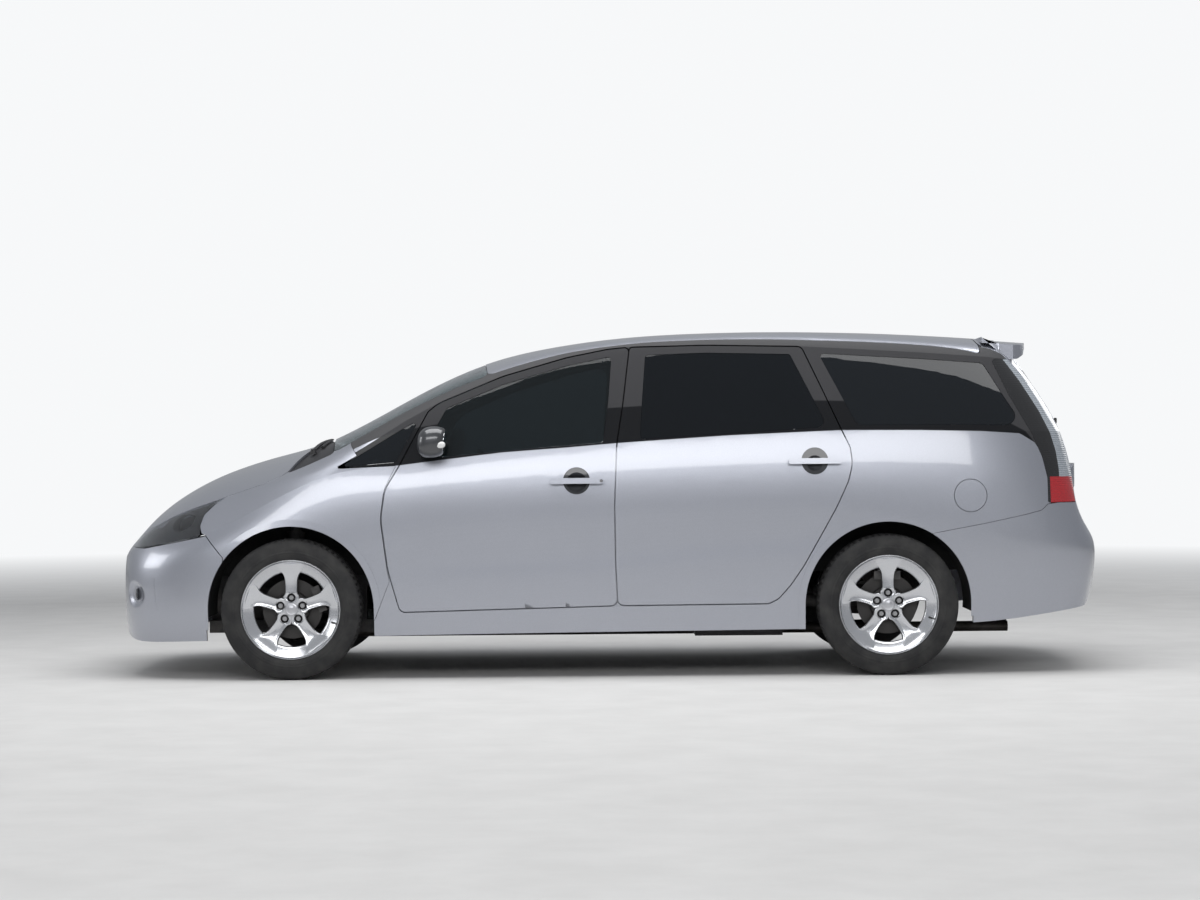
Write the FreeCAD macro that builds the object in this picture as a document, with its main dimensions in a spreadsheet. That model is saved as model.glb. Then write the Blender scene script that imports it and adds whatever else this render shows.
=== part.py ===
"""A seven-seat minivan, front towards -X, left side towards -Y, standing on its tyres at Z = 0."""

import FreeCAD, Part
import math
import os

from FreeCAD import Vector

doc = FreeCAD.newDocument("minivan")
sheet = doc.addObject("Spreadsheet::Sheet", "sizes")

# Driving dimensions, in millimetres and degrees

SIZES = {
    "overall_length": 4765,
    "overall_width": 1795,
    "overall_height": 1655,
    "wheelbase": 2830,
    "front_overhang": 865,
    "track": 1555,
    "tyre_diameter": 668,
    "tyre_width": 215,
    "rim_diameter": 474,
    "arch_radius": 394,
    "arch_lip_width": 32,
    "arch_lip_height": 5,
    "door_wall": 62,
    "roof_wall": 38,
    "frame_depth": 46,
    "rail_depth": 36,
    "bonnet_wall": 30,
    "bumper_wall": 40,
    "rear_wall": 46,
    "glass_inset": 2,
    "glass_thickness": 5,
    "glass_rebate": 14,
    "shut_gap": 6,
    "panel_gap": 4,
    "trim_gap": 2,
    "hem_drop": 80,
    "sliver_volume": 5000,
    "handle_length": 250,
    "handle_height": 27,
    "handle_reach": 34,
    "handle_thickness": 17,
    "handle_cup_depth": 24,
    "flap_thickness": 5,
    "house_step": 10,
    "cowl_inset": 12,
    "cowl_depth": 34,
    "lens_thickness": 4,
    "bowl_inset": 7,
    "bowl_depth": 70,
    "fog_depth": 22,
    "mesh_inset": 14,
    "mesh_depth": 32,
    "liner_thickness": 5,
    "liner_gap": 1,
    "plate_thickness": 8,
    "floor_thickness": 20,
    "mirror_gap": 0.6,
    "ball_diameter": 48,
    "arm_diameter": 34,
    "strut_diameter": 48,
    "spring_diameter": 84,
    "shaft_diameter": 40,
    "bearing_play": 0.08,
    "hub_diameter": 72,
    "disc_diameter": 284,
    "disc_thickness": 18,
    "disc_gap": 6,
    "carrier_diameter": 96,
    "carrier_width": 60,
    "caliper_thickness": 15,
    "stud_circle": 112,
    "stud_pocket": 38,
    "stud_pocket_depth": 14,
    "cap_diameter": 58,
    "spoke_count": 5,
    "spoke_depth": 62,
    "axle_tube_diameter": 68,
    "trailing_arm_diameter": 60,
    "pipe_diameter": 52,
    "silencer_diameter": 190,
    "hanger_diameter": 12,
    "wheel_ring_diameter": 370,
    "wheel_ring_thickness": 29,
    "wheel_bar_diameter": 26,
    "boss_diameter": 110,
    "column_diameter": 64,
    "column_play": 6,
    "jack_pad_length": 70,
    "jack_pad_width": 44,
    "towing_thread_diameter": 16,
    "towing_boss_diameter": 34,
    "towing_cover_diameter": 46,
    "plate_plinth_depth": 30,
    "rim_flange_width": 200,
    "bead_depth": 14,
    "bead_gap": 0.5,
    "front_wheel_turn": 0,
    "front_caliper_turn": 70,
    "jack_pad_drop": 17,
    "tailgate_edge_depth": 8,
    "tailgate_edge_taper": 10,
}

for row, (alias, value) in enumerate(SIZES.items(), 1):
    sheet.set(f"A{row}", alias)
    sheet.set(f"B{row}", str(value))
    sheet.setAlias(f"B{row}", alias)
doc.recompute()


def size(alias):
    return float(getattr(sheet, alias))


half_width = size("overall_width") / 2
height = size("overall_height")
wheelbase = size("wheelbase")
nose_x = -size("overall_length") / 2
front_axle_x = nose_x + size("front_overhang")
rear_axle_x = front_axle_x + wheelbase
tail_x = size("overall_length") / 2
wheel_z = size("tyre_diameter") / 2
HUGE = 2 * size("overall_length")


def at_x(share):
    """A station along the car, counted in wheelbases from the front axle."""
    return front_axle_x + share * wheelbase


def at_y(share):
    return share * half_width


def at_z(share):
    return share * height


# Lines of the body: each gives a share of the half width or of the height along the car,
# against shares of the wheelbase behind the front axle.

hem_y_shares = [(-0.306, 0.28), (-0.303, 0.42), (-0.296, 0.53), (-0.283, 0.64), (-0.262, 0.73), (-0.232, 0.81),
                (-0.195, 0.87), (-0.15, 0.91), (-0.1, 0.93), (0.0, 0.945), (0.3, 0.95), (0.9, 0.95), (1.1, 0.935),
                (1.25, 0.90), (1.38, 0.86)]
hem_z_shares = [(-0.306, 0.172), (-0.303, 0.150), (-0.296, 0.130), (-0.283, 0.112), (-0.262, 0.106),
                (-0.232, 0.107), (-0.195, 0.110), (0.0, 0.118), (0.14, 0.124), (0.5, 0.13), (0.9, 0.134),
                (1.14, 0.146), (1.30, 0.178), (1.38, 0.20)]
flare_y_shares = [(-0.306, 0.31), (-0.303, 0.46), (-0.296, 0.58), (-0.283, 0.69), (-0.262, 0.785), (-0.232, 0.865),
                  (-0.195, 0.925), (-0.15, 0.962), (-0.1, 0.98), (0.0, 0.988), (0.3, 0.988), (0.9, 0.988),
                  (1.1, 0.98), (1.25, 0.955), (1.38, 0.93)]
flare_z_shares = [(-0.306, 0.20), (-0.303, 0.185), (-0.283, 0.17), (-0.232, 0.172), (-0.1, 0.20), (0.1, 0.235),
                  (0.195, 0.252), (0.55, 0.289), (0.78, 0.330), (1.1, 0.335), (1.38, 0.33)]
hollow_y_shares = [(-0.306, 0.325), (-0.303, 0.475), (-0.296, 0.60), (-0.283, 0.71), (-0.262, 0.80), (-0.232, 0.875),
                   (-0.195, 0.93), (-0.15, 0.965), (-0.1, 0.982), (0.0, 0.985), (0.3, 0.972), (0.9, 0.972),
                   (1.1, 0.985), (1.25, 0.965), (1.38, 0.94)]
hollow_z_shares = [(-0.306, 0.25), (-0.283, 0.25), (-0.232, 0.25), (-0.1, 0.27), (0.1, 0.278), (0.195, 0.288),
                   (0.55, 0.325), (0.78, 0.366), (1.1, 0.385), (1.38, 0.38)]
waist_y_shares = [(-0.306, 0.325), (-0.303, 0.475), (-0.296, 0.60), (-0.283, 0.71), (-0.262, 0.80), (-0.232, 0.875),
                  (-0.195, 0.93), (-0.15, 0.965), (-0.1, 0.985), (0.0, 0.995), (0.3, 1.0), (0.9, 1.0),
                  (1.1, 0.99), (1.25, 0.955), (1.38, 0.92)]
waist_z_shares = [(-0.306, 0.29), (-0.283, 0.30), (-0.232, 0.315), (-0.1, 0.37), (0.0, 0.42), (0.2, 0.48),
                  (0.5, 0.50), (0.9, 0.51), (1.1, 0.50), (1.38, 0.47)]
upper_y_shares = [(-0.306, 0.315), (-0.303, 0.46), (-0.296, 0.585), (-0.283, 0.69), (-0.262, 0.78), (-0.232, 0.855),
                  (-0.195, 0.91), (-0.15, 0.95), (-0.1, 0.97), (0.0, 0.982), (0.3, 0.985), (0.9, 0.985),
                  (1.1, 0.975), (1.25, 0.94), (1.38, 0.90)]
upper_z_shares = [(-0.306, 0.315), (-0.283, 0.335), (-0.232, 0.355), (-0.1, 0.415), (0.0, 0.485), (0.1, 0.545),
                  (0.3, 0.58), (0.5, 0.60), (0.9, 0.625), (1.1, 0.62), (1.38, 0.57)]
belt_y_shares = [(-0.306, 0.30), (-0.303, 0.43), (-0.296, 0.55), (-0.283, 0.65), (-0.262, 0.735), (-0.232, 0.81),
                 (-0.195, 0.87), (-0.15, 0.915), (-0.1, 0.94), (0.0, 0.955), (0.07, 0.958), (0.3, 0.958),
                 (0.9, 0.955), (1.1, 0.945), (1.25, 0.905), (1.38, 0.86)]
belt_z_shares = [(-0.306, 0.332), (-0.303, 0.342), (-0.296, 0.352), (-0.283, 0.368), (-0.262, 0.38), (-0.232, 0.39),
                 (-0.195, 0.40), (-0.15, 0.418), (-0.1, 0.45), (-0.05, 0.495), (0.0, 0.54), (0.045, 0.575),
                 (0.075, 0.594), (0.179, 0.611), (0.25, 0.625), (0.357, 0.647), (0.463, 0.658), (0.551, 0.671),
                 (0.733, 0.689), (0.925, 0.702), (1.054, 0.700), (1.16, 0.697), (1.38, 0.69)]
rail_y_shares = [(-0.306, 0.26), (-0.303, 0.36), (-0.296, 0.46), (-0.283, 0.54), (-0.262, 0.595), (-0.232, 0.645),
                 (-0.195, 0.685), (-0.15, 0.715), (-0.1, 0.75), (-0.05, 0.81), (0.0, 0.875), (0.045, 0.925),
                 (0.09, 0.93), (0.138, 0.905), (0.193, 0.87), (0.247, 0.84), (0.356, 0.797), (0.464, 0.767),
                 (0.6, 0.752), (0.845, 0.752), (1.062, 0.745), (1.183, 0.73), (1.38, 0.69)]
rail_z_shares = [(-0.306, 0.342), (-0.303, 0.354), (-0.296, 0.366), (-0.283, 0.388), (-0.262, 0.42),
                 (-0.232, 0.450), (-0.195, 0.479), (-0.15, 0.508), (-0.1, 0.536), (-0.05, 0.562), (0.0, 0.583),
                 (0.045, 0.597), (0.09, 0.628), (0.138, 0.68), (0.193, 0.737), (0.247, 0.787), (0.356, 0.864),
                 (0.464, 0.917), (0.555, 0.942), (0.7, 0.950), (0.845, 0.945), (0.953, 0.935), (1.062, 0.923),
                 (1.183, 0.909), (1.38, 0.88)]
shoulder_y_shares = [(-0.306, 0.2), (-0.296, 0.34), (-0.262, 0.46), (-0.232, 0.52), (-0.15, 0.58), (-0.05, 0.66),
                     (0.0, 0.72), (0.07, 0.83), (0.138, 0.83), (0.247, 0.785), (0.356, 0.752), (0.464, 0.727),
                     (0.6, 0.715), (0.9, 0.715), (1.183, 0.695), (1.38, 0.65)]
shoulder_z_shares = [(-0.306, 0.345), (-0.296, 0.371), (-0.283, 0.397), (-0.262, 0.437), (-0.232, 0.474),
                     (-0.195, 0.507), (-0.15, 0.54), (-0.1, 0.569), (-0.05, 0.593), (0.0, 0.615), (0.07, 0.66),
                     (0.138, 0.72), (0.247, 0.822), (0.356, 0.897), (0.464, 0.947), (0.6, 0.975), (0.8, 0.983),
                     (1.0, 0.968), (1.183, 0.942), (1.38, 0.91)]
crown_y_shares = [(-0.306, 0.13), (-0.296, 0.22), (-0.262, 0.31), (-0.15, 0.4), (0.0, 0.5), (0.07, 0.60), (0.247, 0.56),
                  (0.464, 0.52), (0.9, 0.52), (1.183, 0.50), (1.38, 0.47)]
crown_z_shares = [(-0.306, 0.347), (-0.296, 0.375), (-0.283, 0.403), (-0.262, 0.449), (-0.232, 0.492),
                  (-0.195, 0.530), (-0.15, 0.566), (-0.1, 0.596), (-0.05, 0.620), (0.0, 0.641), (0.07, 0.690),
                  (0.138, 0.748), (0.247, 0.848), (0.356, 0.921), (0.464, 0.962), (0.6, 0.986), (0.8, 0.995),
                  (1.0, 0.984), (1.183, 0.966), (1.38, 0.935)]
ridge_z_shares = [(-0.306, 0.348), (-0.296, 0.377), (-0.283, 0.407), (-0.262, 0.456), (-0.232, 0.502),
                  (-0.195, 0.543), (-0.15, 0.582), (-0.1, 0.613), (-0.05, 0.638), (0.0, 0.658), (0.033, 0.674),
                  (0.119, 0.744), (0.233, 0.850), (0.330, 0.922), (0.40, 0.951), (0.464, 0.968), (0.557, 0.988),
                  (0.635, 0.9965), (0.805, 1.0012), (0.976, 0.9955), (1.089, 0.986), (1.203, 0.973), (1.38, 0.945)]

station_shares = [-0.306, -0.303, -0.296, -0.283, -0.262, -0.232, -0.195, -0.15, -0.1, -0.05, 0.0, 0.045, 0.09,
                  0.14, 0.2, 0.27, 0.35, 0.45, 0.57, 0.7, 0.83, 0.95]

# The rear face in side view, from under the spoiler down to the bumper's foot: (height share, station share)
rear_face_shares = [(1.02, 1.195), (0.97, 1.218), (0.923, 1.239), (0.865, 1.265), (0.806, 1.287), (0.75, 1.306),
                    (0.699, 1.322), (0.607, 1.339), (0.516, 1.346), (0.485, 1.349), (0.455, 1.355), (0.424, 1.363),
                    (0.39, 1.376), (0.354, 1.381), (0.30, 1.379), (0.25, 1.376), (0.211, 1.371), (0.165, 1.353),
                    (0.12, 1.33)]
# How the sides turn in towards the rear face: (share of the half width left, distance ahead as share of it)
rear_turn_shares = [(1.0, 0.66), (0.999, 0.50), (0.994, 0.38), (0.982, 0.28), (0.955, 0.175), (0.91, 0.112),
                    (0.86, 0.080), (0.80, 0.060), (0.73, 0.045), (0.62, 0.03)]
rear_crown_share = 0.122
rear_face_y_shares = [-1.3, -1.05, -0.8, -0.5, -0.2, 0.2, 0.5, 0.8, 1.05, 1.3]


def line_value(points, x):
    """Smooth monotone interpolation through the points of one line."""
    if x <= points[0][0]:
        return points[0][1]
    if x >= points[-1][0]:
        return points[-1][1]
    slopes = [(b[1] - a[1]) / (b[0] - a[0]) for a, b in zip(points, points[1:])]
    k = next(i for i in range(len(slopes)) if points[i + 1][0] >= x)

    def tangent(i):
        if i == 0 or i == len(slopes):
            return slopes[min(i, len(slopes) - 1)]
        before, after = slopes[i - 1], slopes[i]
        if before * after <= 0:
            return 0
        return 2 * before * after / (before + after)

    (x0, v0), (x1, v1) = points[k], points[k + 1]
    span = x1 - x0
    u = (x - x0) / span
    return (v0 * (1 + 2 * u) * (1 - u) ** 2 + tangent(k) * span * u * (1 - u) ** 2
            + v1 * u * u * (3 - 2 * u) + tangent(k + 1) * span * u * u * (u - 1))


COLUMNS = [
    (hem_y_shares, hem_z_shares, "door_wall"),
    (flare_y_shares, flare_z_shares, "door_wall"),
    (hollow_y_shares, hollow_z_shares, "door_wall"),
    (waist_y_shares, waist_z_shares, "door_wall"),
    (upper_y_shares, upper_z_shares, "door_wall"),
    (belt_y_shares, belt_z_shares, "door_wall"),
    (None, 1 / 3, "roof_wall"),
    (None, 2 / 3, "roof_wall"),
    (rail_y_shares, rail_z_shares, "roof_wall"),
    (shoulder_y_shares, shoulder_z_shares, "roof_wall"),
    (crown_y_shares, crown_z_shares, "roof_wall"),
    (0.42, ridge_z_shares, "roof_wall"),
    (0, ridge_z_shares, "roof_wall"),
]
BELT_COLUMN = 5
glass_bulge_share = 0.010


def section_point(column, share):
    """(half breadth share, height share) of a column of the net at a station share."""
    across, up, _ = COLUMNS[column]
    if across is None:
        belt = section_point(BELT_COLUMN, share)
        rail = section_point(BELT_COLUMN + 3, share)
        bulge = glass_bulge_share * min(1, abs(rail[1] - belt[1]) * 5)
        return (belt[0] + (rail[0] - belt[0]) * up + bulge, belt[1] + (rail[1] - belt[1]) * up + bulge / 2)
    z = line_value(up, share)
    if isinstance(across, list):
        return line_value(across, share), z
    return across * line_value(crown_y_shares, share), z


def rear_face_x(z_share):
    ordered = sorted(rear_face_shares)
    return at_x(line_value(ordered, z_share))


def net():
    """Poles of the left half of the skin: rows run along the car, columns from the hem up to the centre line."""
    rows = []
    for share in station_shares:
        row = []
        for column in range(len(COLUMNS)):
            y, z = section_point(column, share)
            row.append(Vector(at_x(share), -at_y(y), at_z(z)))
        rows.append(row)
    for width_share, ahead_share in rear_turn_shares:
        row = []
        for column in range(len(COLUMNS)):
            share = 1.1
            for _ in range(6):
                y, z = section_point(column, share)
                share = (rear_face_x(z) - ahead_share * half_width - front_axle_x) / wheelbase
            row.append(Vector(at_x(share), -at_y(y) * width_share, at_z(z)))
        rows.append(row)
    last_width_share = 0.5
    row = []
    for column in range(len(COLUMNS)):
        y, z = section_point(column, 1.38)
        row.append(Vector(tail_x + half_width / 2, -at_y(y) * last_width_share, at_z(z)))
    rows.append(row)
    return rows


SKIN_NET = net()


def normal(rows, i, j):
    before_i, after_i = max(i - 1, 0), min(i + 1, len(rows) - 1)
    before_j, after_j = max(j - 1, 0), min(j + 1, len(rows[0]) - 1)
    along = rows[after_i][j] - rows[before_i][j]
    up = rows[i][after_j] - rows[i][before_j]
    if j == len(rows[0]) - 1:
        up = Vector(0, 1, 0)
    n = along.cross(up)
    return n.normalize()


def inset_net(depths):
    """The skin's net moved inwards; depths gives a distance for each column."""
    rows = []
    for i, row in enumerate(SKIN_NET):
        rows.append([p - normal(SKIN_NET, i, j) * depths[j] for j, p in enumerate(row)])
    return rows


def clamped(count, degree=3):
    spans = count - degree
    knots = [k for k in range(spans + 1)]
    mults = [degree + 1] + [1] * (spans - 1) + [degree + 1]
    return knots, mults


def patch(rows, columns_degree=3):
    knots_u, mults_u = clamped(len(rows))
    knots_v, mults_v = clamped(len(rows[0]), columns_degree)
    surface = Part.BSplineSurface()
    surface.buildFromPolesMultsKnots(rows, mults_u, mults_v, knots_u, knots_v, False, False, 3, columns_degree)
    return surface.toShape()


def mirrored(point):
    return Vector(point.x, -point.y, point.z)


def skin_solid(rows, bottom_drop=0, start=0):
    """A closed solid from a half net: two lower sides, one top from belt to belt, an underside and two end caps."""
    rows = [list(row) for row in rows[start:]]
    for k in (0, -1):
        rows[k] = [Vector(rows[k][0].x, p.y, p.z) for p in rows[k]]
    if bottom_drop:
        for row in rows:
            row[0] = Vector(row[0].x, row[0].y, row[0].z - bottom_drop)
    left = [row[:BELT_COLUMN + 1] for row in rows]
    right = [[mirrored(p) for p in reversed(row)] for row in left]
    top = [row[BELT_COLUMN:] + [mirrored(p) for p in reversed(row[BELT_COLUMN:-1])] for row in rows]
    under = [[mirrored(row[0]), row[0]] for row in rows]
    faces = [patch(left), patch(top), patch(right), patch(under, 1)]
    caps = []
    for row in (rows[0], rows[-1]):
        edges = []
        for face in faces:
            for edge in face.Edges:
                box = edge.BoundBox
                if abs(box.XMin - row[0].x) < 0.01 and abs(box.XMax - row[0].x) < 0.01:
                    edges.append(edge)
        caps.append(Part.Face(Part.Wire(Part.__sortEdges__(edges))))
    shell = Part.makeShell(faces + caps)
    shell.sewShape()
    solid = Part.makeSolid(shell)
    if solid.Volume < 0:
        solid.reverse()
    return solid


def rear_face(inset=0, half=False):
    """The rear face as one surface, moved forward by inset and carried on straight above and below."""
    rows = []
    ys = [y for y in rear_face_y_shares if y < 0] + [0] if half else rear_face_y_shares
    for z_share, x_share in [(1.3, rear_face_shares[0][1])] + rear_face_shares + [(-0.5, rear_face_shares[-1][1])]:
        rows.append([Vector(at_x(x_share) - inset - rear_crown_share * half_width * y * y, at_y(y), at_z(z_share))
                     for y in ys])
    return patch(rows)


# Outlines: closed polygons of (x, z, corner radius), rounded with arcs

def grown(points, amounts):
    """The polygon with every edge moved outwards; amounts is one distance or one for each edge."""
    n = len(points)
    if not isinstance(amounts, list):
        amounts = [amounts] * n
    area = sum(points[i][0] * points[(i + 1) % n][1] - points[(i + 1) % n][0] * points[i][1] for i in range(n))
    turn = 1 if area > 0 else -1
    normals = []
    for i in range(n):
        dx = points[(i + 1) % n][0] - points[i][0]
        dz = points[(i + 1) % n][1] - points[i][1]
        length = math.hypot(dx, dz)
        normals.append((turn * dz / length, -turn * dx / length))
    result = []
    for i in range(n):
        (ax, az), (bx, bz) = normals[i - 1], normals[i]
        before, after = amounts[i - 1], amounts[i]
        cross = ax * bz - az * bx
        if abs(cross) < 0.05:
            mx, mz = ax + bx, az + bz
            scale = (before + after) / 2 / math.hypot(mx, mz)
            x, z = points[i][0] + mx * scale, points[i][1] + mz * scale
        else:
            x = points[i][0] + (before * bz - after * az) / cross
            z = points[i][1] + (after * ax - before * bx) / cross
        convex = cross * turn > 0
        radius = points[i][2] + (min(before, after) if convex else -min(before, after))
        result.append((x, z, max(radius, 0) if points[i][2] > 0 else 0))
    return result


def outline(points, place):
    """A face bounded by lines and tangent arcs through the points; place turns two numbers into a vector."""
    n = len(points)
    edges = []
    ends = []
    for i in range(n):
        (px, pz, _), (cx, cz, radius), (nx, nz, _) = points[i - 1], points[i], points[(i + 1) % n]
        before, after = (px - cx, pz - cz), (nx - cx, nz - cz)
        lb, la = math.hypot(*before), math.hypot(*after)
        cosine = (before[0] * after[0] + before[1] * after[1]) / lb / la
        angle = math.acos(max(-1, min(1, cosine)))
        trim = radius / math.tan(angle / 2) if radius > 0 and angle < math.pi - 0.01 else 0
        trim = min(trim, 0.49 * lb, 0.49 * la)
        start = (cx + before[0] / lb * trim, cz + before[1] / lb * trim)
        end = (cx + after[0] / la * trim, cz + after[1] / la * trim)
        ends.append((start, end))
        if trim > 0:
            bx, bz = before[0] / lb + after[0] / la, before[1] / lb + after[1] / la
            length = math.hypot(bx, bz)
            reach = trim * math.tan(angle / 2) * (1 / math.sin(angle / 2) - 1)
            middle = (cx + bx / length * reach, cz + bz / length * reach)
            edges.append(Part.Arc(place(*start), place(*middle), place(*end)).toShape())
    for i in range(n):
        edges.append(Part.makeLine(place(*ends[i - 1][1]), place(*ends[i][0])))
    return Part.Face(Part.Wire(Part.__sortEdges__(edges)))


def side_view(points):
    """Shares along and up the car, with corner radii as shares of the height, turned into millimetres."""
    return [(at_x(p[0]), at_z(p[1]), (p[2] if len(p) > 2 else 0) * height) for p in points]


def plan_view(points):
    return [(at_x(p[0]), at_y(p[1]), p[2] * height) for p in points]


def end_view(points):
    return [(at_y(p[0]), at_z(p[1]), p[2] * height) for p in points]


def side_prism(points, inner_share=0.2, grow=0):
    """A side-view outline pushed from a share of the half width out past the left flank."""
    face = outline(grown(points, grow) if grow else points, lambda x, z: Vector(x, -at_y(inner_share), z))
    return face.extrude(Vector(0, -HUGE, 0))


def plan_prism(points, low_share, grow=0):
    face = outline(grown(points, grow) if grow else points, lambda x, y: Vector(x, y, at_z(low_share)))
    return face.extrude(Vector(0, 0, HUGE))


def end_prism(points, near_x, far_x, grow=0):
    face = outline(grown(points, grow) if grow else points, lambda y, z: Vector(near_x, y, z))
    return face.extrude(Vector(far_x - near_x, 0, 0))


def both(shape):
    """The left-hand piece and its mirror image."""
    return [shape, shape.mirror(Vector(0, 0, 0), Vector(0, 1, 0))]


def block(x0, x1, y0, y1, z0, z1):
    return Part.makeBox(x1 - x0, y1 - y0, z1 - z0, Vector(x0, y0, z0))


def share_block(xs, ys, zs):
    return block(at_x(xs[0]), at_x(xs[1]), at_y(ys[0]), at_y(ys[1]), at_z(zs[0]), at_z(zs[1]))


def mirror_of_share_block(shares):
    return both(share_block(*shares))[1]


def rod(start, end, radius):
    direction = end - start
    return Part.makeCylinder(radius, direction.Length, start, direction)


def cut_all(shape, tools):
    for tool in tools:
        shape = shape.cut(tool)
    return shape


house_inner_share = 0.55
towing_shares = (-0.292, 0.42, 0.284)

# The sub-parts as document objects

pieces = {}


def piece(label, *shapes, base=(0, 0, 0), turned=False):
    """A named sub-part made of one or more solids; base gives its place, as numbers or as expressions."""
    solids = [solid for shape in shapes for solid in shape.Solids if solid.Volume > size("sliver_volume")]
    feature = doc.addObject("Part::Feature", label)
    feature.Label = label
    feature.Shape = solids[0] if len(solids) == 1 else Part.makeCompound(solids)
    feature.Placement = FreeCAD.Placement(Vector(0, 0, 0), FreeCAD.Rotation(Vector(0, 0, 1), 180 if turned else 0))
    for axis_name, value in zip("xyz", base):
        if isinstance(value, str):
            feature.setExpression(f"Placement.Base.{axis_name}", value)
    pieces[label] = feature
    return feature


# Seams of the panels, as (share of the wheelbase behind the front axle, share of the height, corner radius share)

front_door_shares = [(0.183, 0.191, 0.02), (0.163, 0.313, 0.2), (0.152, 0.458, 0.15), (0.159, 0.542, 0.1),
                     (0.184, 0.613, 0.03), (0.230, 0.764, 0.01), (0.247, 0.789, 0.3), (0.356, 0.866, 0.3),
                     (0.464, 0.919, 0.3), (0.535, 0.943, 0.2), (0.5705, 0.948, 0.012), (0.558, 0.778, 0.3),
                     (0.5475, 0.670, 0.3), (0.543, 0.493, 0.3), (0.544, 0.32, 0.3), (0.547, 0.205, 0.02)]
rear_door_shares = [(0.547, 0.205, 0.02), (0.544, 0.32, 0.3), (0.543, 0.493, 0.3), (0.5475, 0.670, 0.3),
                    (0.558, 0.778, 0.3), (0.5705, 0.948, 0.012), (0.70, 0.952, 0.5), (0.862, 0.946, 0.02),
                    (0.924, 0.702, 0.1), (0.938, 0.652, 0.06), (0.941, 0.606, 0.08), (0.934, 0.556, 0.1),
                    (0.913, 0.479, 0.2), (0.886, 0.397, 0.3), (0.859, 0.316, 0.3), (0.837, 0.261, 0.2),
                    (0.816, 0.221, 0.04), (0.800, 0.207, 0.02)]
front_glass_shares = [(0.214, 0.628, 0.01), (0.262, 0.775, 0.02), (0.356, 0.842, 0.3), (0.464, 0.895, 0.3),
                      (0.540, 0.922, 0.01), (0.534, 0.79, 0.3), (0.5246, 0.672, 0.01), (0.40, 0.657, 0.3),
                      (0.30, 0.642, 0.3)]
rear_glass_shares = [(0.586, 0.680, 0.01), (0.590, 0.78, 0.3), (0.597, 0.925, 0.01), (0.70, 0.930, 0.3),
                     (0.842, 0.924, 0.01), (0.901, 0.711, 0.02), (0.733, 0.694, 0.3)]
quarter_glass_shares = [(0.890, 0.926, 0.01), (1.06, 0.908, 0.3), (1.170, 0.894, 0.02), (1.200, 0.80, 0.3),
                        (1.232, 0.712, 0.03), (1.10, 0.715, 0.3), (0.950, 0.716, 0.02)]
front_quarter_shares = [(0.082, 0.607, 0.005), (0.138, 0.664, 0.3), (0.193, 0.722, 0.3), (0.216, 0.742, 0.01),
                        (0.176, 0.620, 0.01)]
front_bumper_shares = [(-0.40, 0.03, 0), (-0.40, 0.385, 0), (-0.254, 0.377, 0), (-0.151, 0.411, 0.01),
                       (-0.1435, 0.415, 0.005), (-0.123, 0.372, 0.03), (-0.113, 0.352, 0), (-0.113, 0.03, 0)]
rear_bumper_shares = [(1.062, 0.03, 0), (1.062, 0.400, 0), (1.077, 0.406, 0.01), (1.158, 0.431, 0.1),
                      (1.227, 0.455, 0.05), (1.258, 0.468, 0.02), (1.270, 0.486, 0.01), (1.29, 0.490, 0.01),
                      (1.48, 0.490, 0), (1.48, 0.03, 0)]
fender_shares = [(-0.113, 0.352, 0), (-0.123, 0.372, 0.03), (-0.1435, 0.415, 0.005), (-0.151, 0.42, 0.01), (-0.156, 0.441, 0.02),
                 (-0.151, 0.474, 0.03), (-0.133, 0.504, 0.03), (-0.108, 0.532, 0), (-0.108, 0.80, 0),
                 (0.100, 0.80, 0), (0.100, 0.672, 0), (0.112, 0.640, 0), (0.075, 0.604, 0.003),
                 (0.178, 0.611, 0.003), (0.158, 0.542, 0.1), (0.151, 0.458, 0.15), (0.162, 0.313, 0.2),
                 (0.166, 0.28, 0), (0.142, 0.176, 0.01), (0.120, 0.10, 0), (-0.113, 0.10, 0)]
headlamp_shares = [(-0.40, 0.385, 0), (-0.254, 0.377, 0.01), (-0.151, 0.412, 0.015), (-0.156, 0.441, 0.03),
                   (-0.151, 0.474, 0.05), (-0.133, 0.504, 0.05), (-0.108, 0.5325, 0.003), (-0.108, 0.60, 0),
                   (-0.40, 0.60, 0)]
tail_lamp_shares = [(1.185, 0.906, 0.01), (1.210, 0.80, 0.3), (1.2445, 0.690, 0.1), (1.262, 0.620, 0.1),
                    (1.270, 0.560, 0.05), (1.270, 0.489, 0.005), (1.45, 0.493, 0), (1.45, 0.906, 0)]
tailgate_side_shares = [(1.167, 1.10, 0), (1.167, 0.955, 0.01), (1.190, 0.908, 0.02), (1.195, 0.493, 0),
                        (1.50, 0.493, 0), (1.50, 1.10, 0)]
tailgate_y_shares = [(-0.70, 0.493, 0.03), (-0.745, 0.56, 0.1), (-0.75, 0.64, 0.2), (-0.735, 0.70, 0.2),
                     (-0.66, 0.86, 0.1), (-0.63, 0.915, 0.02), (-0.63, 1.10, 0), (0.63, 1.10, 0),
                     (0.63, 0.915, 0.02), (0.66, 0.86, 0.1), (0.735, 0.70, 0.2), (0.75, 0.64, 0.2),
                     (0.745, 0.56, 0.1), (0.70, 0.493, 0.03)]
rear_window_shares = [(-0.66, 0.705, 0.03), (-0.61, 0.83, 0.1), (-0.585, 0.874, 0.02), (0.585, 0.874, 0.02),
                      (0.61, 0.83, 0.1), (0.66, 0.705, 0.03), (0.3, 0.69, 0.3), (-0.3, 0.69, 0.3)]
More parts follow.
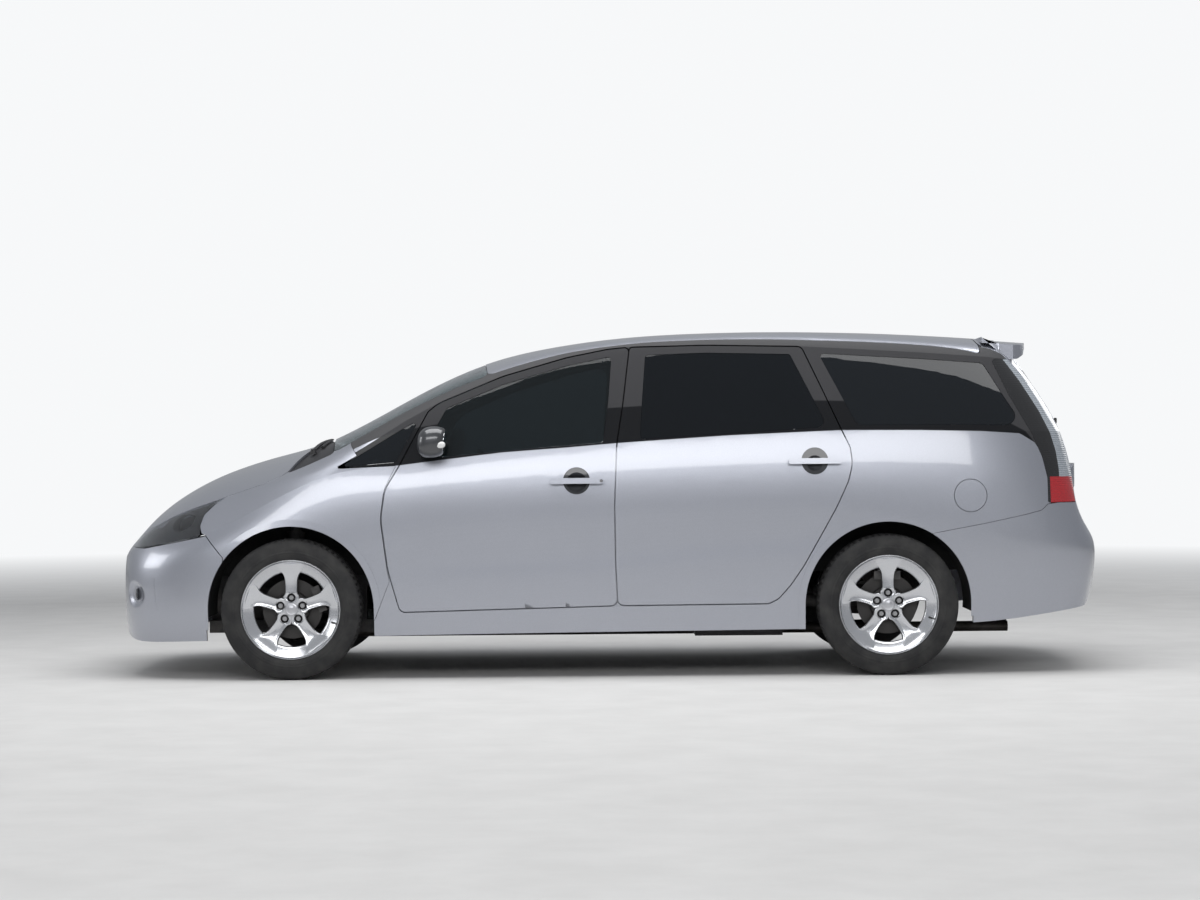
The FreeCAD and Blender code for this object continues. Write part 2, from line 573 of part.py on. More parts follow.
bonnet_shares = [(-0.287, -0.20, 0.05), (-0.278, -0.45, 0.05), (-0.262, -0.565, 0.05), (-0.232, -0.64, 0.1),
                 (-0.15, -0.715, 0.2), (-0.1, -0.75, 0.2), (-0.05, -0.80, 0.1), (-0.01, -0.80, 0.03),
                 (0.028, -0.40, 0.3), (0.034, 0, 0.5), (0.028, 0.40, 0.3), (-0.01, 0.80, 0.03),
                 (-0.05, 0.80, 0.1), (-0.1, 0.75, 0.2), (-0.15, 0.715, 0.2), (-0.232, 0.64, 0.1),
                 (-0.262, 0.565, 0.05), (-0.278, 0.45, 0.05), (-0.287, 0.20, 0.05)]
cowl_shares = [(-0.01, -0.80, 0.01), (0.028, -0.40, 0.3), (0.034, 0, 0.5), (0.028, 0.40, 0.3),
               (-0.01, 0.80, 0.01), (0.070, 0.84, 0.01), (0.062, 0.45, 0.3), (0.052, 0, 0.5),
               (0.062, -0.45, 0.3), (0.070, -0.84, 0.01)]
windscreen_shares = [(0.070, -0.83, 0.02), (0.247, -0.785, 0.3), (0.33, -0.765, 0.02), (0.322, -0.4, 0.3),
                     (0.317, 0, 0.5), (0.322, 0.4, 0.3), (0.33, 0.765, 0.02), (0.247, 0.785, 0.3),
                     (0.070, 0.83, 0.02), (0.062, 0.45, 0.3), (0.052, 0, 0.5), (0.062, -0.45, 0.3)]
roof_shares = [(0.33, -0.757, 0.02), (0.464, -0.727, 0.3), (0.6, -0.715, 0.3), (0.9, -0.715, 0.3),
               (1.167, -0.695, 0.01), (1.167, 0.695, 0.01), (0.9, 0.715, 0.3), (0.6, 0.715, 0.3),
               (0.464, 0.727, 0.3), (0.33, 0.757, 0.02), (0.322, 0.4, 0.3), (0.317, 0, 0.5),
               (0.322, -0.4, 0.3)]
grille_slot_shares = [(-0.38, 0.342, 0.008), (-0.40, 0.366, 0.008), (0.40, 0.366, 0.008), (0.38, 0.342, 0.008)]
intake_shares = [(-0.50, 0.165, 0.02), (-0.46, 0.235, 0.02), (0.46, 0.235, 0.02), (0.50, 0.165, 0.02)]
aperture_front_shares = [(0.190, 0.225, 0.05), (0.185, 0.40, 0.1), (0.19, 0.60, 0.1), (0.262, 0.765, 0.05),
                         (0.36, 0.835, 0.3), (0.464, 0.887, 0.3), (0.535, 0.915, 0.03), (0.525, 0.67, 0.3),
                         (0.51, 0.42, 0.3), (0.52, 0.225, 0.05)]
aperture_rear_shares = [(0.585, 0.235, 0.05), (0.58, 0.42, 0.3), (0.59, 0.67, 0.3), (0.605, 0.915, 0.03),
                        (0.70, 0.920, 0.3), (0.838, 0.915, 0.03), (0.900, 0.69, 0.1), (0.895, 0.56, 0.1),
                        (0.86, 0.45, 0.2), (0.80, 0.33, 0.2), (0.76, 0.235, 0.05)]
bowl_shares = [(-0.215, -0.62, 0.415, 0.045), (-0.182, -0.74, 0.435, 0.042)]
fog_shares = [(-0.86, 0.205, 0.02), (-0.86, 0.29, 0.02), (-0.66, 0.285, 0.02), (-0.64, 0.20, 0.02)]
grille_slat_shares = [(0.3465, 0.3525), (0.3555, 0.3615)]
intake_slat_shares = [(0.170, 0.181), (0.186, 0.197), (0.202, 0.213), (0.218, 0.229)]
spoiler_side_shares = [(1.172, 0.9735, 0.002), (1.203, 0.9705, 0.05), (1.2645, 0.9625, 0.004), (1.2655, 0.951, 0.004),
                       (1.235, 0.925, 0.02), (1.205, 0.925, 0)]
spoiler_plan_shares = [(1.170, -0.64, 0.01), (1.21, -0.64, 0.05), (1.245, -0.60, 0.05), (1.262, -0.30, 0.4),
                       (1.266, 0, 0.5), (1.262, 0.30, 0.4), (1.245, 0.60, 0.05), (1.21, 0.64, 0.05), (1.170, 0.64, 0.01)]
flap_radius_share = 0.046


# Layers of the body: the left half, the nose, the roof and the tail, each between two depths

def part_hull(side_depth, top_depth, region, drop=0, start=0):
    depths = [side_depth] * (BELT_COLUMN + 1) + [top_depth] * (len(COLUMNS) - BELT_COLUMN - 1)
    return skin_solid(inset_net(depths), drop, start).common(region)


def layer(outer_depths, inner_depths, region, start=0):
    """The wall between two depths inside a region; each depth is one for the flank and one for the top."""
    return part_hull(*outer_depths, region, start=start).cut(
        part_hull(*inner_depths, region, drop=size("hem_drop"), start=start))


def rear_region(inset=0, half=False):
    """The space ahead of the rear face, moved forward by inset, for the whole car or its left half."""
    face = rear_face(inset, half)
    return face.extrude(Vector(-HUGE, 0, 0))


door_wall, roof_wall = size("door_wall"), size("roof_wall")
bumper_wall, bonnet_wall, rear_wall = size("bumper_wall"), size("bonnet_wall"), size("rear_wall")
gap, half_gap, panel_gap = size("shut_gap"), size("shut_gap") / 2, size("panel_gap")
glass_in = size("glass_inset")
glass_out = glass_in + size("glass_thickness")
frame_step, rail_step = size("frame_depth"), size("rail_depth")
FRAME_START = 8

nose_region = block(-HUGE, at_x(0.36), -HUGE, HUGE, -HUGE, HUGE)
left_nose_region = block(-HUGE, at_x(0.36), -HUGE, 0, -HUGE, HUGE)
middle_region = block(at_x(0.1), at_x(1.0), -HUGE, 0, -HUGE, HUGE)
roof_region = block(at_x(0.28), at_x(1.2), -HUGE, HUGE, at_z(0.8), HUGE)
left_roof_region = block(at_x(0.28), at_x(1.2), -HUGE, 0, at_z(0.8), HUGE)

nose_panel = layer((0, 0), (bumper_wall, bonnet_wall), nose_region)
left_nose = nose_panel.common(left_nose_region)
middle_skin = part_hull(0, 0, middle_region)
door_panel = middle_skin.cut(part_hull(door_wall - gap, roof_wall - gap, middle_region, size("hem_drop"),
                                       FRAME_START))
glass_middle = layer((glass_in, glass_in), (glass_out, glass_out), middle_region)

tail_skin = part_hull(0, 0, rear_region())
tail_inner = part_hull(bumper_wall, bonnet_wall, rear_region(rear_wall), size("hem_drop"))
tail_panel = tail_skin.cut(tail_inner)
left_region = rear_region(half=True)
left_skin = part_hull(0, 0, left_region)
left_rebate = left_skin.cut(part_hull(door_wall, roof_wall, left_region, size("hem_drop"), FRAME_START))
left_frame = left_skin.cut(part_hull(door_wall + frame_step, roof_wall + rail_step,
                                     rear_region(rear_wall + frame_step), size("hem_drop"), FRAME_START))

# Seam prisms

front_door_side, rear_door_side = side_view(front_door_shares), side_view(rear_door_shares)
bonnet_plan, cowl_plan = plan_view(bonnet_shares), plan_view(cowl_shares)
windscreen_plan, roof_plan = plan_view(windscreen_shares), plan_view(roof_shares)
tail_end, tail_side = end_view(tailgate_y_shares), side_view(tailgate_side_shares)
headlamp_side, tail_lamp_side = side_view(headlamp_shares), side_view(tail_lamp_shares)
front_bumper_side, rear_bumper_side = side_view(front_bumper_shares), side_view(rear_bumper_shares)
fender_side = side_view(fender_shares)


def wheel_drum(x, radius, from_y, to_y):
    """A drum about a left wheel's axle with straight legs below it."""
    drum = Part.makeCylinder(radius, to_y - from_y, Vector(x, -from_y, wheel_z), Vector(0, -1, 0))
    return drum.fuse(block(x - radius, x + radius, -to_y, -from_y, -height, wheel_z))


arch_r = size("arch_radius")
lip_y = half_width - door_wall
house_r, house_y = arch_r + size("house_step"), house_inner_share * half_width
left_arches = {x: wheel_drum(x, arch_r, lip_y, HUGE).fuse(wheel_drum(x, house_r, house_y, lip_y))
               for x in (front_axle_x, rear_axle_x)}
front_arches = both(left_arches[front_axle_x])
rear_arches = both(left_arches[rear_axle_x])


def arch_lip(x, region):
    """A thin raised flange round a left wheel arch, which follows the flank."""
    ring = wheel_drum(x, arch_r + size("arch_lip_width"), lip_y, HUGE)
    proud = part_hull(-size("arch_lip_height"), 0, region)
    return proud.cut(part_hull(size("glass_thickness"), 0, region, size("hem_drop"))).common(ring)


bonnet_low_share = 0.345
bonnet_gap = plan_prism(bonnet_plan, bonnet_low_share, grow=gap)
cowl_gap = plan_prism(cowl_plan, bonnet_low_share, grow=size("trim_gap"))
tailgate_gap = side_prism(tail_side, -2, grow=gap).common(end_prism(tail_end, at_x(1.1), HUGE, grow=gap))
tailgate_tool = side_prism(tail_side, -2).common(end_prism(tail_end, at_x(1.1), HUGE))

# Bonnet, cowl, windscreen and roof

piece("bonnet", nose_panel.common(plan_prism(bonnet_plan, bonnet_low_share)))
cowl_top, cowl_depth = size("cowl_inset"), size("cowl_depth")
cowl_region = block(at_x(-0.1), at_x(0.12), -HUGE, HUGE, at_z(0.4), HUGE)
cowl = layer((cowl_top, cowl_top), (cowl_top + cowl_depth, cowl_top + cowl_depth), cowl_region)
piece("cowl", cowl.common(plan_prism(cowl_plan, bonnet_low_share, grow=-size("trim_gap"))))
glass_nose = layer((glass_in, glass_in), (glass_out, glass_out), block(at_x(0), at_x(0.4), -HUGE, HUGE, 0, HUGE))
windscreen = glass_nose.common(plan_prism(windscreen_plan, bonnet_low_share, grow=-size("trim_gap")))
roof_skin = layer((0, 0), (bonnet_wall, bonnet_wall), roof_region)
roof_panel = roof_skin.common(plan_prism(roof_plan, 0.8)).cut(tailgate_gap)
for door_side in (front_door_side, rear_door_side):
    roof_panel = cut_all(roof_panel, both(side_prism(door_side, grow=2 * gap)))
piece("roof_panel", roof_panel)

# Nose: headlamps with their bowls, bumper, grille and fenders

lamp_inner_share, lens = 0.46, size("lens_thickness")
left_bonnet_gap = bonnet_gap.common(left_nose_region)
lamp_prism = side_prism(headlamp_side, lamp_inner_share)
lamp_tool = side_prism(headlamp_side, lamp_inner_share, grow=-1)
lens_layer = part_hull(0, 0, left_nose_region).cut(part_hull(lens, lens, left_nose_region, size("hem_drop")))
piece("headlamps", *both(lens_layer.common(lamp_tool).cut(left_bonnet_gap)))
bowl_in, bowl_out = size("bowl_inset"), size("bowl_depth")
bowl = layer((bowl_in, bowl_in), (bowl_out, bowl_out), left_nose_region).common(
    side_prism(headlamp_side, lamp_inner_share, grow=-size("trim_gap"))).cut(left_bonnet_gap)
for x_share, y_share, z_share, r_share in bowl_shares:
    bowl = bowl.cut(Part.makeSphere(r_share * height, Vector(at_x(x_share), at_y(y_share), at_z(z_share))))
piece("headlamp_bowls", *both(bowl))

grille_end, intake_end = end_view(grille_slot_shares), end_view(intake_shares)
near, far = nose_x - HUGE, at_x(-0.22)
grille_tool, intake_tool = end_prism(grille_end, near, far), end_prism(intake_end, near, far)
lamp_gaps = both(side_prism(headlamp_side, lamp_inner_share - 0.006, grow=1))
bumper = nose_panel.common(side_prism(front_bumper_side, -2, grow=-panel_gap / 2))
bumper = cut_all(bumper, [bonnet_gap, *lamp_gaps, *front_arches, grille_tool, intake_tool])
fog_region = block(-HUGE, at_x(-0.2), -HUGE, 0, 0, at_z(0.4))
fog_depth = size("fog_depth")
fog_side = end_view(fog_shares)
fog_cut = part_hull(0, 0, fog_region).cut(part_hull(fog_depth, fog_depth, fog_region, size("hem_drop"))).common(
    end_prism(fog_side, near, far))
towing_hole = Part.makeCylinder(size("towing_cover_diameter") / 2, HUGE, Vector(
    at_x(-0.2), at_y(towing_shares[1]), at_z(towing_shares[2])), Vector(-1, 0, 0))
plinth_depth = size("plate_plinth_depth")
front_plinth = block(at_x(-0.3085), at_x(-0.3085) + plinth_depth, at_y(-0.29), at_y(0.29), at_z(0.268), at_z(0.337))
piece("front_bumper", cut_all(bumper.fuse(front_plinth), [towing_hole, *both(fog_cut)]))
mesh_in, mesh_out = size("mesh_inset"), size("mesh_depth")
grille_region = block(-HUGE, at_x(-0.25), at_y(-0.6), at_y(0.6), 0, at_z(0.45))
mesh = layer((mesh_in, mesh_in), (mesh_out, mesh_out), grille_region)
upper_mesh = mesh.common(end_prism(grille_end, near, far, grow=-size("mirror_gap"))).cut(bonnet_gap)
lower_mesh = mesh.common(end_prism(intake_end, near, far, grow=-size("mirror_gap")))
for share in grille_slat_shares:
    upper_mesh = upper_mesh.cut(share_block((-0.4, -0.2), (-0.37, 0.37), share))
for share in intake_slat_shares:
    lower_mesh = lower_mesh.cut(share_block((-0.4, -0.2), (-0.43, 0.43), share))
piece("grille", upper_mesh, lower_mesh)
fender = left_nose.common(side_prism(fender_side, 0.3, grow=-panel_gap / 2))
fender = cut_all(fender, [left_bonnet_gap, cowl_gap, plan_prism(windscreen_plan, bonnet_low_share, grow=panel_gap)])
lip_region = block(at_x(-0.2), at_x(0.2), -HUGE, 0, 0, HUGE)
fender = fender.fuse(arch_lip(front_axle_x, lip_region).common(side_prism(fender_side, 0.3, grow=-panel_gap / 2)))
piece("front_fenders", *both(fender.cut(left_arches[front_axle_x])))

# Doors, with their glass and handles

door_sides = {"front_door": front_door_side, "rear_door": rear_door_side}
pane_sides = {"front_door": side_view(front_glass_shares), "rear_door": side_view(rear_glass_shares)}
handle_shares = {"front_door": (0.4797, 0.5635), "rear_door": (0.8781, 0.6145)}
reach, grip = size("handle_reach"), size("handle_thickness")
handle_region = block(at_x(0.35), at_x(1), -HUGE, 0, at_z(0.5), at_z(0.66))
bar_layer = layer((-reach, 0), (grip - reach, 0), handle_region)
post_layer = layer((-reach, 0), (panel_gap, 0), handle_region)
for name, points in door_sides.items():
    pane_side = pane_sides[name]
    leaf = door_panel.common(side_prism(points, grow=-half_gap))
    leaf = leaf.cut(side_prism(pane_side)).cut(left_arches[rear_axle_x])
    x, z = at_x(handle_shares[name][0]), at_z(handle_shares[name][1])
    length, bar_height = size("handle_length"), size("handle_height")
    cup_half, cup_depth = 0.26 * length, size("handle_cup_depth")
    cup_r = (cup_half ** 2 + cup_depth ** 2) / (2 * cup_depth)
    skin_y = -at_y(line_value(waist_y_shares, handle_shares[name][0]))
    leaf = leaf.cut(Part.makeSphere(cup_r, Vector(x, skin_y - cup_r + cup_depth, z)))
    bar_side = [(x - length / 2, z - bar_height / 2, bar_height / 3), (x + length / 2, z - bar_height / 2, bar_height / 3),
                (x + length / 2, z + bar_height / 2, bar_height / 3), (x - length / 2, z + bar_height / 2, bar_height / 3)]
    handle = bar_layer.common(side_prism(bar_side))
    for end in (-1, 1):
        post = [(px + end * 0.42 * length, pz, r) for px, pz, r in
                [(x - bar_height / 2, z - bar_height / 2, 0), (x + bar_height / 2, z - bar_height / 2, 0),
                 (x + bar_height / 2, z + bar_height / 2, 0), (x - bar_height / 2, z + bar_height / 2, 0)]]
        handle = handle.fuse(post_layer.common(side_prism(post)))
    leaf = leaf.fuse(handle)
    pane = glass_middle.common(side_prism(pane_side, grow=-half_gap / 3))
    for side, solid, glass in zip(("left", "right"), both(leaf), both(pane)):
        piece(f"{name}_{side}", solid)
        piece(f"{name}_{side}_glass", glass)

# Tail: bumper, lamps, tailgate with its spoiler, and the rear window

rear_bumper = tail_panel.common(side_prism(rear_bumper_side, -2, grow=-panel_gap / 2))
piece("rear_bumper", cut_all(rear_bumper, rear_arches))
left_tail_panel = tail_panel.common(block(0, HUGE, -HUGE, 0, -HUGE, HUGE))
tail_lamp = left_tail_panel.common(side_prism(tail_lamp_side, 0.5, grow=-1)).cut(tailgate_gap).cut(
    side_prism(rear_bumper_side, -2, grow=half_gap / 3))
piece("tail_lamps", *both(tail_lamp))
window_end = end_view(rear_window_shares)
window_tool = end_prism(window_end, at_x(1.19), HUGE)
edge_depth, edge_taper = size("tailgate_edge_depth"), size("tailgate_edge_taper")
narrow_edge = part_hull(edge_depth, edge_depth, rear_region(edge_depth)).cut(
    end_prism(tail_end, at_x(1.1), HUGE, grow=-edge_taper))
tailgate = tail_panel.common(tailgate_tool).cut(window_tool).cut(narrow_edge)
spoiler = outline(side_view(spoiler_side_shares), lambda x, z: Vector(x, -at_y(0.62), z)).extrude(
    Vector(0, 2 * at_y(0.62), 0)).common(plan_prism(plan_view(spoiler_plan_shares), 0.8))
rear_plinth = block(at_x(1.3476) - plinth_depth, at_x(1.3476), at_y(-0.29), at_y(0.29), at_z(0.53), at_z(0.60))
tailgate = tailgate.multiFuse([spoiler, rear_plinth])
piece("tailgate", tailgate)
rear_region_box = block(at_x(1.19), HUGE, -HUGE, HUGE, at_z(0.5), HUGE)
rear_pane = part_hull(glass_in, glass_in, rear_region(glass_in)).cut(
    part_hull(glass_out, glass_out, rear_region(glass_out), size("hem_drop"))).common(
    end_prism(window_end, at_x(1.19), HUGE, grow=-half_gap / 3))
piece("tailgate_glass", rear_pane)

# Side frames: the flank that the other panels leave, with the pillars behind the doors

frame = left_frame.common(block(at_x(0.10), HUGE, -HUGE, -at_y(0.5), 0, HUGE))
for tool in (side_prism(front_door_side, grow=half_gap), side_prism(rear_door_side, grow=half_gap),
             side_prism(fender_side, 0.3)):
    frame = frame.cut(left_rebate.common(tool))
roof_seat = layer((0, 0), (bonnet_wall + 1, bonnet_wall + 1), left_roof_region)
frame = frame.cut(roof_seat.common(plan_prism(roof_plan, 0.8, grow=panel_gap)))
frame = frame.cut(layer((0, 0), (bumper_wall, bumper_wall), block(at_x(0.05), at_x(0.36), -HUGE, 0, 0, HUGE)).common(
    plan_prism(windscreen_plan, bonnet_low_share)))
frame = cut_all(frame, [
    side_prism(side_view(aperture_front_shares), 0.1), side_prism(side_view(aperture_rear_shares), 0.1),
    side_prism(side_view(quarter_glass_shares), 0.1), side_prism(side_view(front_quarter_shares), 0.1),
    *left_arches.values(), tailgate_gap, side_prism(rear_bumper_side, -2), side_prism(tail_lamp_side, 0.1), cowl_gap])
quarter_lip = arch_lip(rear_axle_x, block(at_x(0.8), at_x(1.2), -HUGE, 0, 0, HUGE)).cut(
    side_prism(rear_door_side, grow=half_gap)).cut(side_prism(rear_bumper_side, -2)).cut(left_arches[rear_axle_x])
frame = frame.fuse(quarter_lip)
flap_x, flap_z, flap_r = at_x(1.138), at_z(0.512), flap_radius_share * height
flap_start, flap_way = Vector(flap_x, -HUGE, flap_z), Vector(0, 1, 0)
flap_hole = Part.makeCylinder(flap_r + gap / 2, HUGE, flap_start, flap_way)
left_side, right_side = both(frame)
left_side = left_side.cut(left_tail_panel.common(flap_hole))
piece("side_frames", left_side, right_side)
flap_depth = size("flap_thickness")
flap_region = block(at_x(1.0), at_x(1.25), -HUGE, 0, at_z(0.4), at_z(0.6))
piece("fuel_flap", layer((0, 0), (flap_depth, flap_depth), flap_region).common(
    Part.makeCylinder(flap_r, HUGE, flap_start, flap_way)))
fixed = [windscreen]
glass_region = block(at_x(0.02), at_x(1.31), -HUGE, 0, at_z(0.5), HUGE)
glass_left = layer((glass_in, glass_in), (glass_out, glass_out), glass_region)
for points in (quarter_glass_shares, front_quarter_shares):
    fixed += both(glass_left.common(side_prism(side_view(points), grow=-half_gap / 3)))
piece("fixed_glass", *fixed)


# Wheel houses, each closed on its inner side above the axle

liner_t, liner_gap, plate_t = size("liner_thickness"), size("liner_gap"), size("plate_thickness")
passage_share, skirt_share = 0.29, 0.18
liner_r = house_r - liner_gap
low_space = block(-HUGE, HUGE, -HUGE, HUGE, -HUGE, at_z(passage_share))
liners, plates = [], []
for x in (front_axle_x, rear_axle_x):
    foot, way = Vector(x, -house_y, wheel_z), Vector(0, -1, 0)
    shell = Part.makeCylinder(liner_r, lip_y - liner_gap - house_y, foot, way)
    room = Part.makeCylinder(liner_r - liner_t, HUGE, foot + way * liner_t, way)
    passage = Part.makeCylinder(liner_r - liner_t, liner_t, foot, way).common(low_space)
    liners += both(cut_all(shell, [room, passage, block(-HUGE, HUGE, -HUGE, HUGE, -HUGE, at_z(skirt_share))]))
    plates += both(Part.makeCylinder(house_r, plate_t, foot, -way).cut(low_space))
piece("arch_liners", *liners)

# Floor pan, bulkhead and front rails

floor_top_share, rear_floor_share, rear_floor_top_share, cradle_top_share = 0.154, 0.290, 0.302, 0.157
bulkhead_x_share = 0.137
platform_shares = [((0.130, 0.8545), (-1.2, 1.2), (0.142, floor_top_share)),
                   ((0.8475, 0.8545), (-1.2, 1.2), (0.142, rear_floor_top_share)),
                   ((0.8475, 1.315), (-1.2, 1.2), (rear_floor_share, rear_floor_top_share)),
                   ((0.130, bulkhead_x_share), (-1.2, 1.2), (0.142, 0.604)),
                   ((0.130, 0.605), (-0.145, 0.145), (floor_top_share, 0.2055)),
                   ((-0.273, -0.259), (-0.58, 0.58), (0.242, 0.326))]
rail_shares = ((-0.262, 0.134), (0.446, 0.5125), (0.254, 0.326))
post_shares = [((-0.135, -0.114), (0.446, 0.5125), (cradle_top_share, 0.26)),
               ((0.0945, 0.1157), (0.446, 0.5125), (cradle_top_share, 0.26))]
jack_x_shares, jack_y_share = (0.175, 0.79), 0.795
cabin = part_hull(door_wall + frame_step + liner_gap, roof_wall + rail_step, rear_region(rear_wall + frame_step + liner_gap),
                  size("hem_drop"), FRAME_START)
platform = [cabin.common(share_block(*shares)) for shares in platform_shares[:-1]]
platform += [share_block(*platform_shares[-1]), *plates]
for shares in [rail_shares, *post_shares]:
    platform += both(share_block(*shares))
jack_half, jack_wide, jack_drop = size("jack_pad_length") / 2, size("jack_pad_width"), size("jack_pad_drop")
floor_low = at_z(platform_shares[0][2][0])
for share in jack_x_shares:
    platform += both(block(at_x(share) - jack_half, at_x(share) + jack_half, -at_y(jack_y_share) - jack_wide / 2,
                           -at_y(jack_y_share) + jack_wide / 2, floor_low - 2 * jack_drop, floor_low))
towing_start = Vector(at_x(towing_shares[0]), at_y(towing_shares[1]), at_z(towing_shares[2]))
towing_reach = at_x(platform_shares[-1][0][1]) - towing_start.x
towing_boss = Part.makeCylinder(size("towing_boss_diameter") / 2, towing_reach, towing_start, Vector(1, 0, 0))
towing_bore = Part.makeCylinder(size("towing_thread_diameter") / 2, 0.8 * towing_reach, towing_start, Vector(1, 0, 0))
platform = platform[0].multiFuse([*platform[1:], towing_boss]).cut(towing_bore)
piece("floor_pan", cut_all(platform, [*front_arches, *rear_arches]))

# Engine block and fuel tank as plain blocks bound to the sheet

FRONT = "(-sizes.overall_length / 2 + sizes.front_overhang)"


def bound_block(label, xs, ys, zs):
    """A box whose size and place follow the sheet; the three pairs are shares."""
    shape = doc.addObject("Part::Box", label)
    shape.Label = label
    shape.setExpression("Length", f"sizes.wheelbase * {xs[1] - xs[0]:.5f}")
    shape.setExpression("Width", f"sizes.overall_width / 2 * {ys[1] - ys[0]:.5f}")
    shape.setExpression("Height", f"sizes.overall_height * {zs[1] - zs[0]:.5f}")
    shape.setExpression("Placement.Base.x", f"{FRONT} + sizes.wheelbase * {xs[0]}")
    shape.setExpression("Placement.Base.y", f"sizes.overall_width / 2 * {ys[0]}")
    shape.setExpression("Placement.Base.z", f"sizes.overall_height * {zs[0]}")
    pieces[label] = shape


bound_block("engine", (-0.156, 0.066), (-0.42, 0.42), (cradle_top_share, 0.50))
bound_block("fuel_tank", (0.68, 0.83), (-0.58, -0.07), (0.103, 0.142))

# Front subframe with the lower arms out to the ball joints

ball_y_share, ball_z_share, strut_y_share, strut_z_share = 0.798, 0.121, 0.660, 0.431
arm_x_share, arm_y_share, arm_z_share = 0.053, 0.44, 0.133
cradle_shares = ((-0.156, 0.130), (-0.5125, 0.5125), (0.121, cradle_top_share))
window_shares = ((-0.108, 0.0415), (-0.37, 0.37), (0, 0.3))
ball_r = size("ball_diameter") / 2
left_ball = Vector(front_axle_x, -at_y(ball_y_share), at_z(ball_z_share))
left_top = Vector(front_axle_x, -at_y(strut_y_share), at_z(strut_z_share))
arms = [rod(Vector(at_x(end * arm_x_share), -at_y(arm_y_share), at_z(arm_z_share)), left_ball,
            size("arm_diameter") / 2) for end in (-1, 1)]
left_arm = arms[0].multiFuse([arms[1], Part.makeSphere(ball_r, left_ball)])
cradle = share_block(*cradle_shares).cut(share_block(*window_shares))
piece("front_subframe", cradle.multiFuse(both(left_arm)))

# Exhaust: downpipe, pipe, silencer, tail pipe and its hangers

pipe_r, silencer_r, hanger_r = size("pipe_diameter") / 2, size("silencer_diameter") / 2, size("hanger_diameter") / 2
down_x_share, pipe_y_share, pipe_z_share, can_x_share, can_z_share = 0.008, 0.067, 0.1015, 1.236, 0.199
can_y_shares, tail_y_share, tail_z_share, tail_x_share = (0.134, 0.669), 0.58, 0.150, 1.335
pipe_y, pipe_z, can_x, can_z = at_y(pipe_y_share), at_z(pipe_z_share), at_x(can_x_share), at_z(can_z_share)
can_start = Vector(can_x, at_y(can_y_shares[0]), can_z)
can = Part.makeCylinder(silencer_r, at_y(can_y_shares[1]) - at_y(can_y_shares[0]), can_start, Vector(0, 1, 0))
down_x = at_x(down_x_share)
exhaust = [rod(Vector(down_x, pipe_y, pipe_z), Vector(down_x, pipe_y, at_z(cradle_top_share)), pipe_r),
           rod(Vector(down_x - pipe_r, pipe_y, pipe_z), Vector(can_x + pipe_r, pipe_y, pipe_z), pipe_r),
           rod(Vector(can_x, pipe_y, pipe_z), can_start + Vector(0, silencer_r, 0), pipe_r),
           rod(Vector(can_x, at_y(tail_y_share), at_z(tail_z_share)),
               Vector(at_x(tail_x_share), at_y(tail_y_share), at_z(tail_z_share)), pipe_r)]
for y in (can_start.y + silencer_r, at_y(tail_y_share)):
    exhaust.append(rod(Vector(can_x, y, can_z), Vector(can_x, y, at_z(rear_floor_share)), hanger_r))
piece("exhaust", can.multiFuse(exhaust))

# Tyres and rims: each a body turned about its axle and placed by the sheet

tyre_r, rim_r = size("tyre_diameter") / 2, size("rim_diameter") / 2
tyre_shares = [(0.852, 1.0), (0.975, 0.93), (1.0, 0.78), (1.0, -0.78), (0.975, -0.93), (0.852, -1.0)]
bead_r, bead_w = rim_r - size("bead_depth") + size("bead_gap"), 0.9 * size("rim_flange_width") / 2
tyre_points = [(bead_r, bead_w)] + [(r * tyre_r, w * size("tyre_width") / 2) for r, w in tyre_shares]
tyre_points.append((bead_r, -bead_w))
rim_shares = [(0.941, 0.91), (1.0, 0.957), (1.0, 1.0), (0.972, 1.0), (0.907, 0.93), (0.861, 0.68), (0.760, 0.50),
              (0.760, 0.40), (0.827, 0.31), (0.840, 0.20), (0.840, -0.60), (0.907, -0.97), (1.0, -1.0),
              (1.0, -0.957), (0.941, -0.91), (0.941, -0.60), (0.873, -0.50), (0.873, 0.20), (0.941, 0.60)]
flange = size("rim_flange_width") / 2
rim_points = [(r * rim_r, w * flange) for r, w in rim_shares]
hub_r, shaft_r, disc_r = size("hub_diameter") / 2, size("shaft_diameter") / 2, size("disc_diameter") / 2
bore_r, disc_half = shaft_r + size("bearing_play"), size("disc_thickness") / 2
hub_depth_shares = {"back": -0.12, "front": 0.66, "bore": 0.56, "cone": 0.40}
hub_back, hub_front, bore_end, cone = [hub_depth_shares[k] * flange for k in ("back", "front", "bore", "cone")]
nave_r = 0.62 * size("stud_circle")
hub_points = [(bore_r, hub_back), (hub_r, hub_back), (hub_r, -disc_half), (disc_r, -disc_half), (disc_r, disc_half),
              (hub_r, disc_half), (hub_r, cone), (nave_r, cone), (nave_r, 0.9 * hub_front), (0.8 * nave_r, hub_front),
              (0, hub_front), (0, bore_end), (bore_r, bore_end)]
across = FreeCAD.Placement(Vector(0, 0, 0), FreeCAD.Rotation(Vector(1, 0, 0), 90))


def sketch_on(body, name, loops, depth=None):
    """A sketch of closed polygons or circles (x, z, radius): on the XY plane, or across the axle at a depth."""
    sketch = body.newObject("Sketcher::SketchObject", name)
    if depth is not None:
        sketch.Placement = FreeCAD.Placement(Vector(0, depth, 0), across.Rotation)
    for loop in loops:
        if len(loop) == 3 and not isinstance(loop[0], tuple):
            sketch.addGeometry(Part.Circle(Vector(loop[0], loop[1], 0), Vector(0, 0, 1), loop[2]), False)
            continue
        for a, b in zip(loop, loop[1:] + loop[:1]):
            sketch.addGeometry(Part.LineSegment(Vector(*a, 0), Vector(*b, 0)), False)
    return sketch


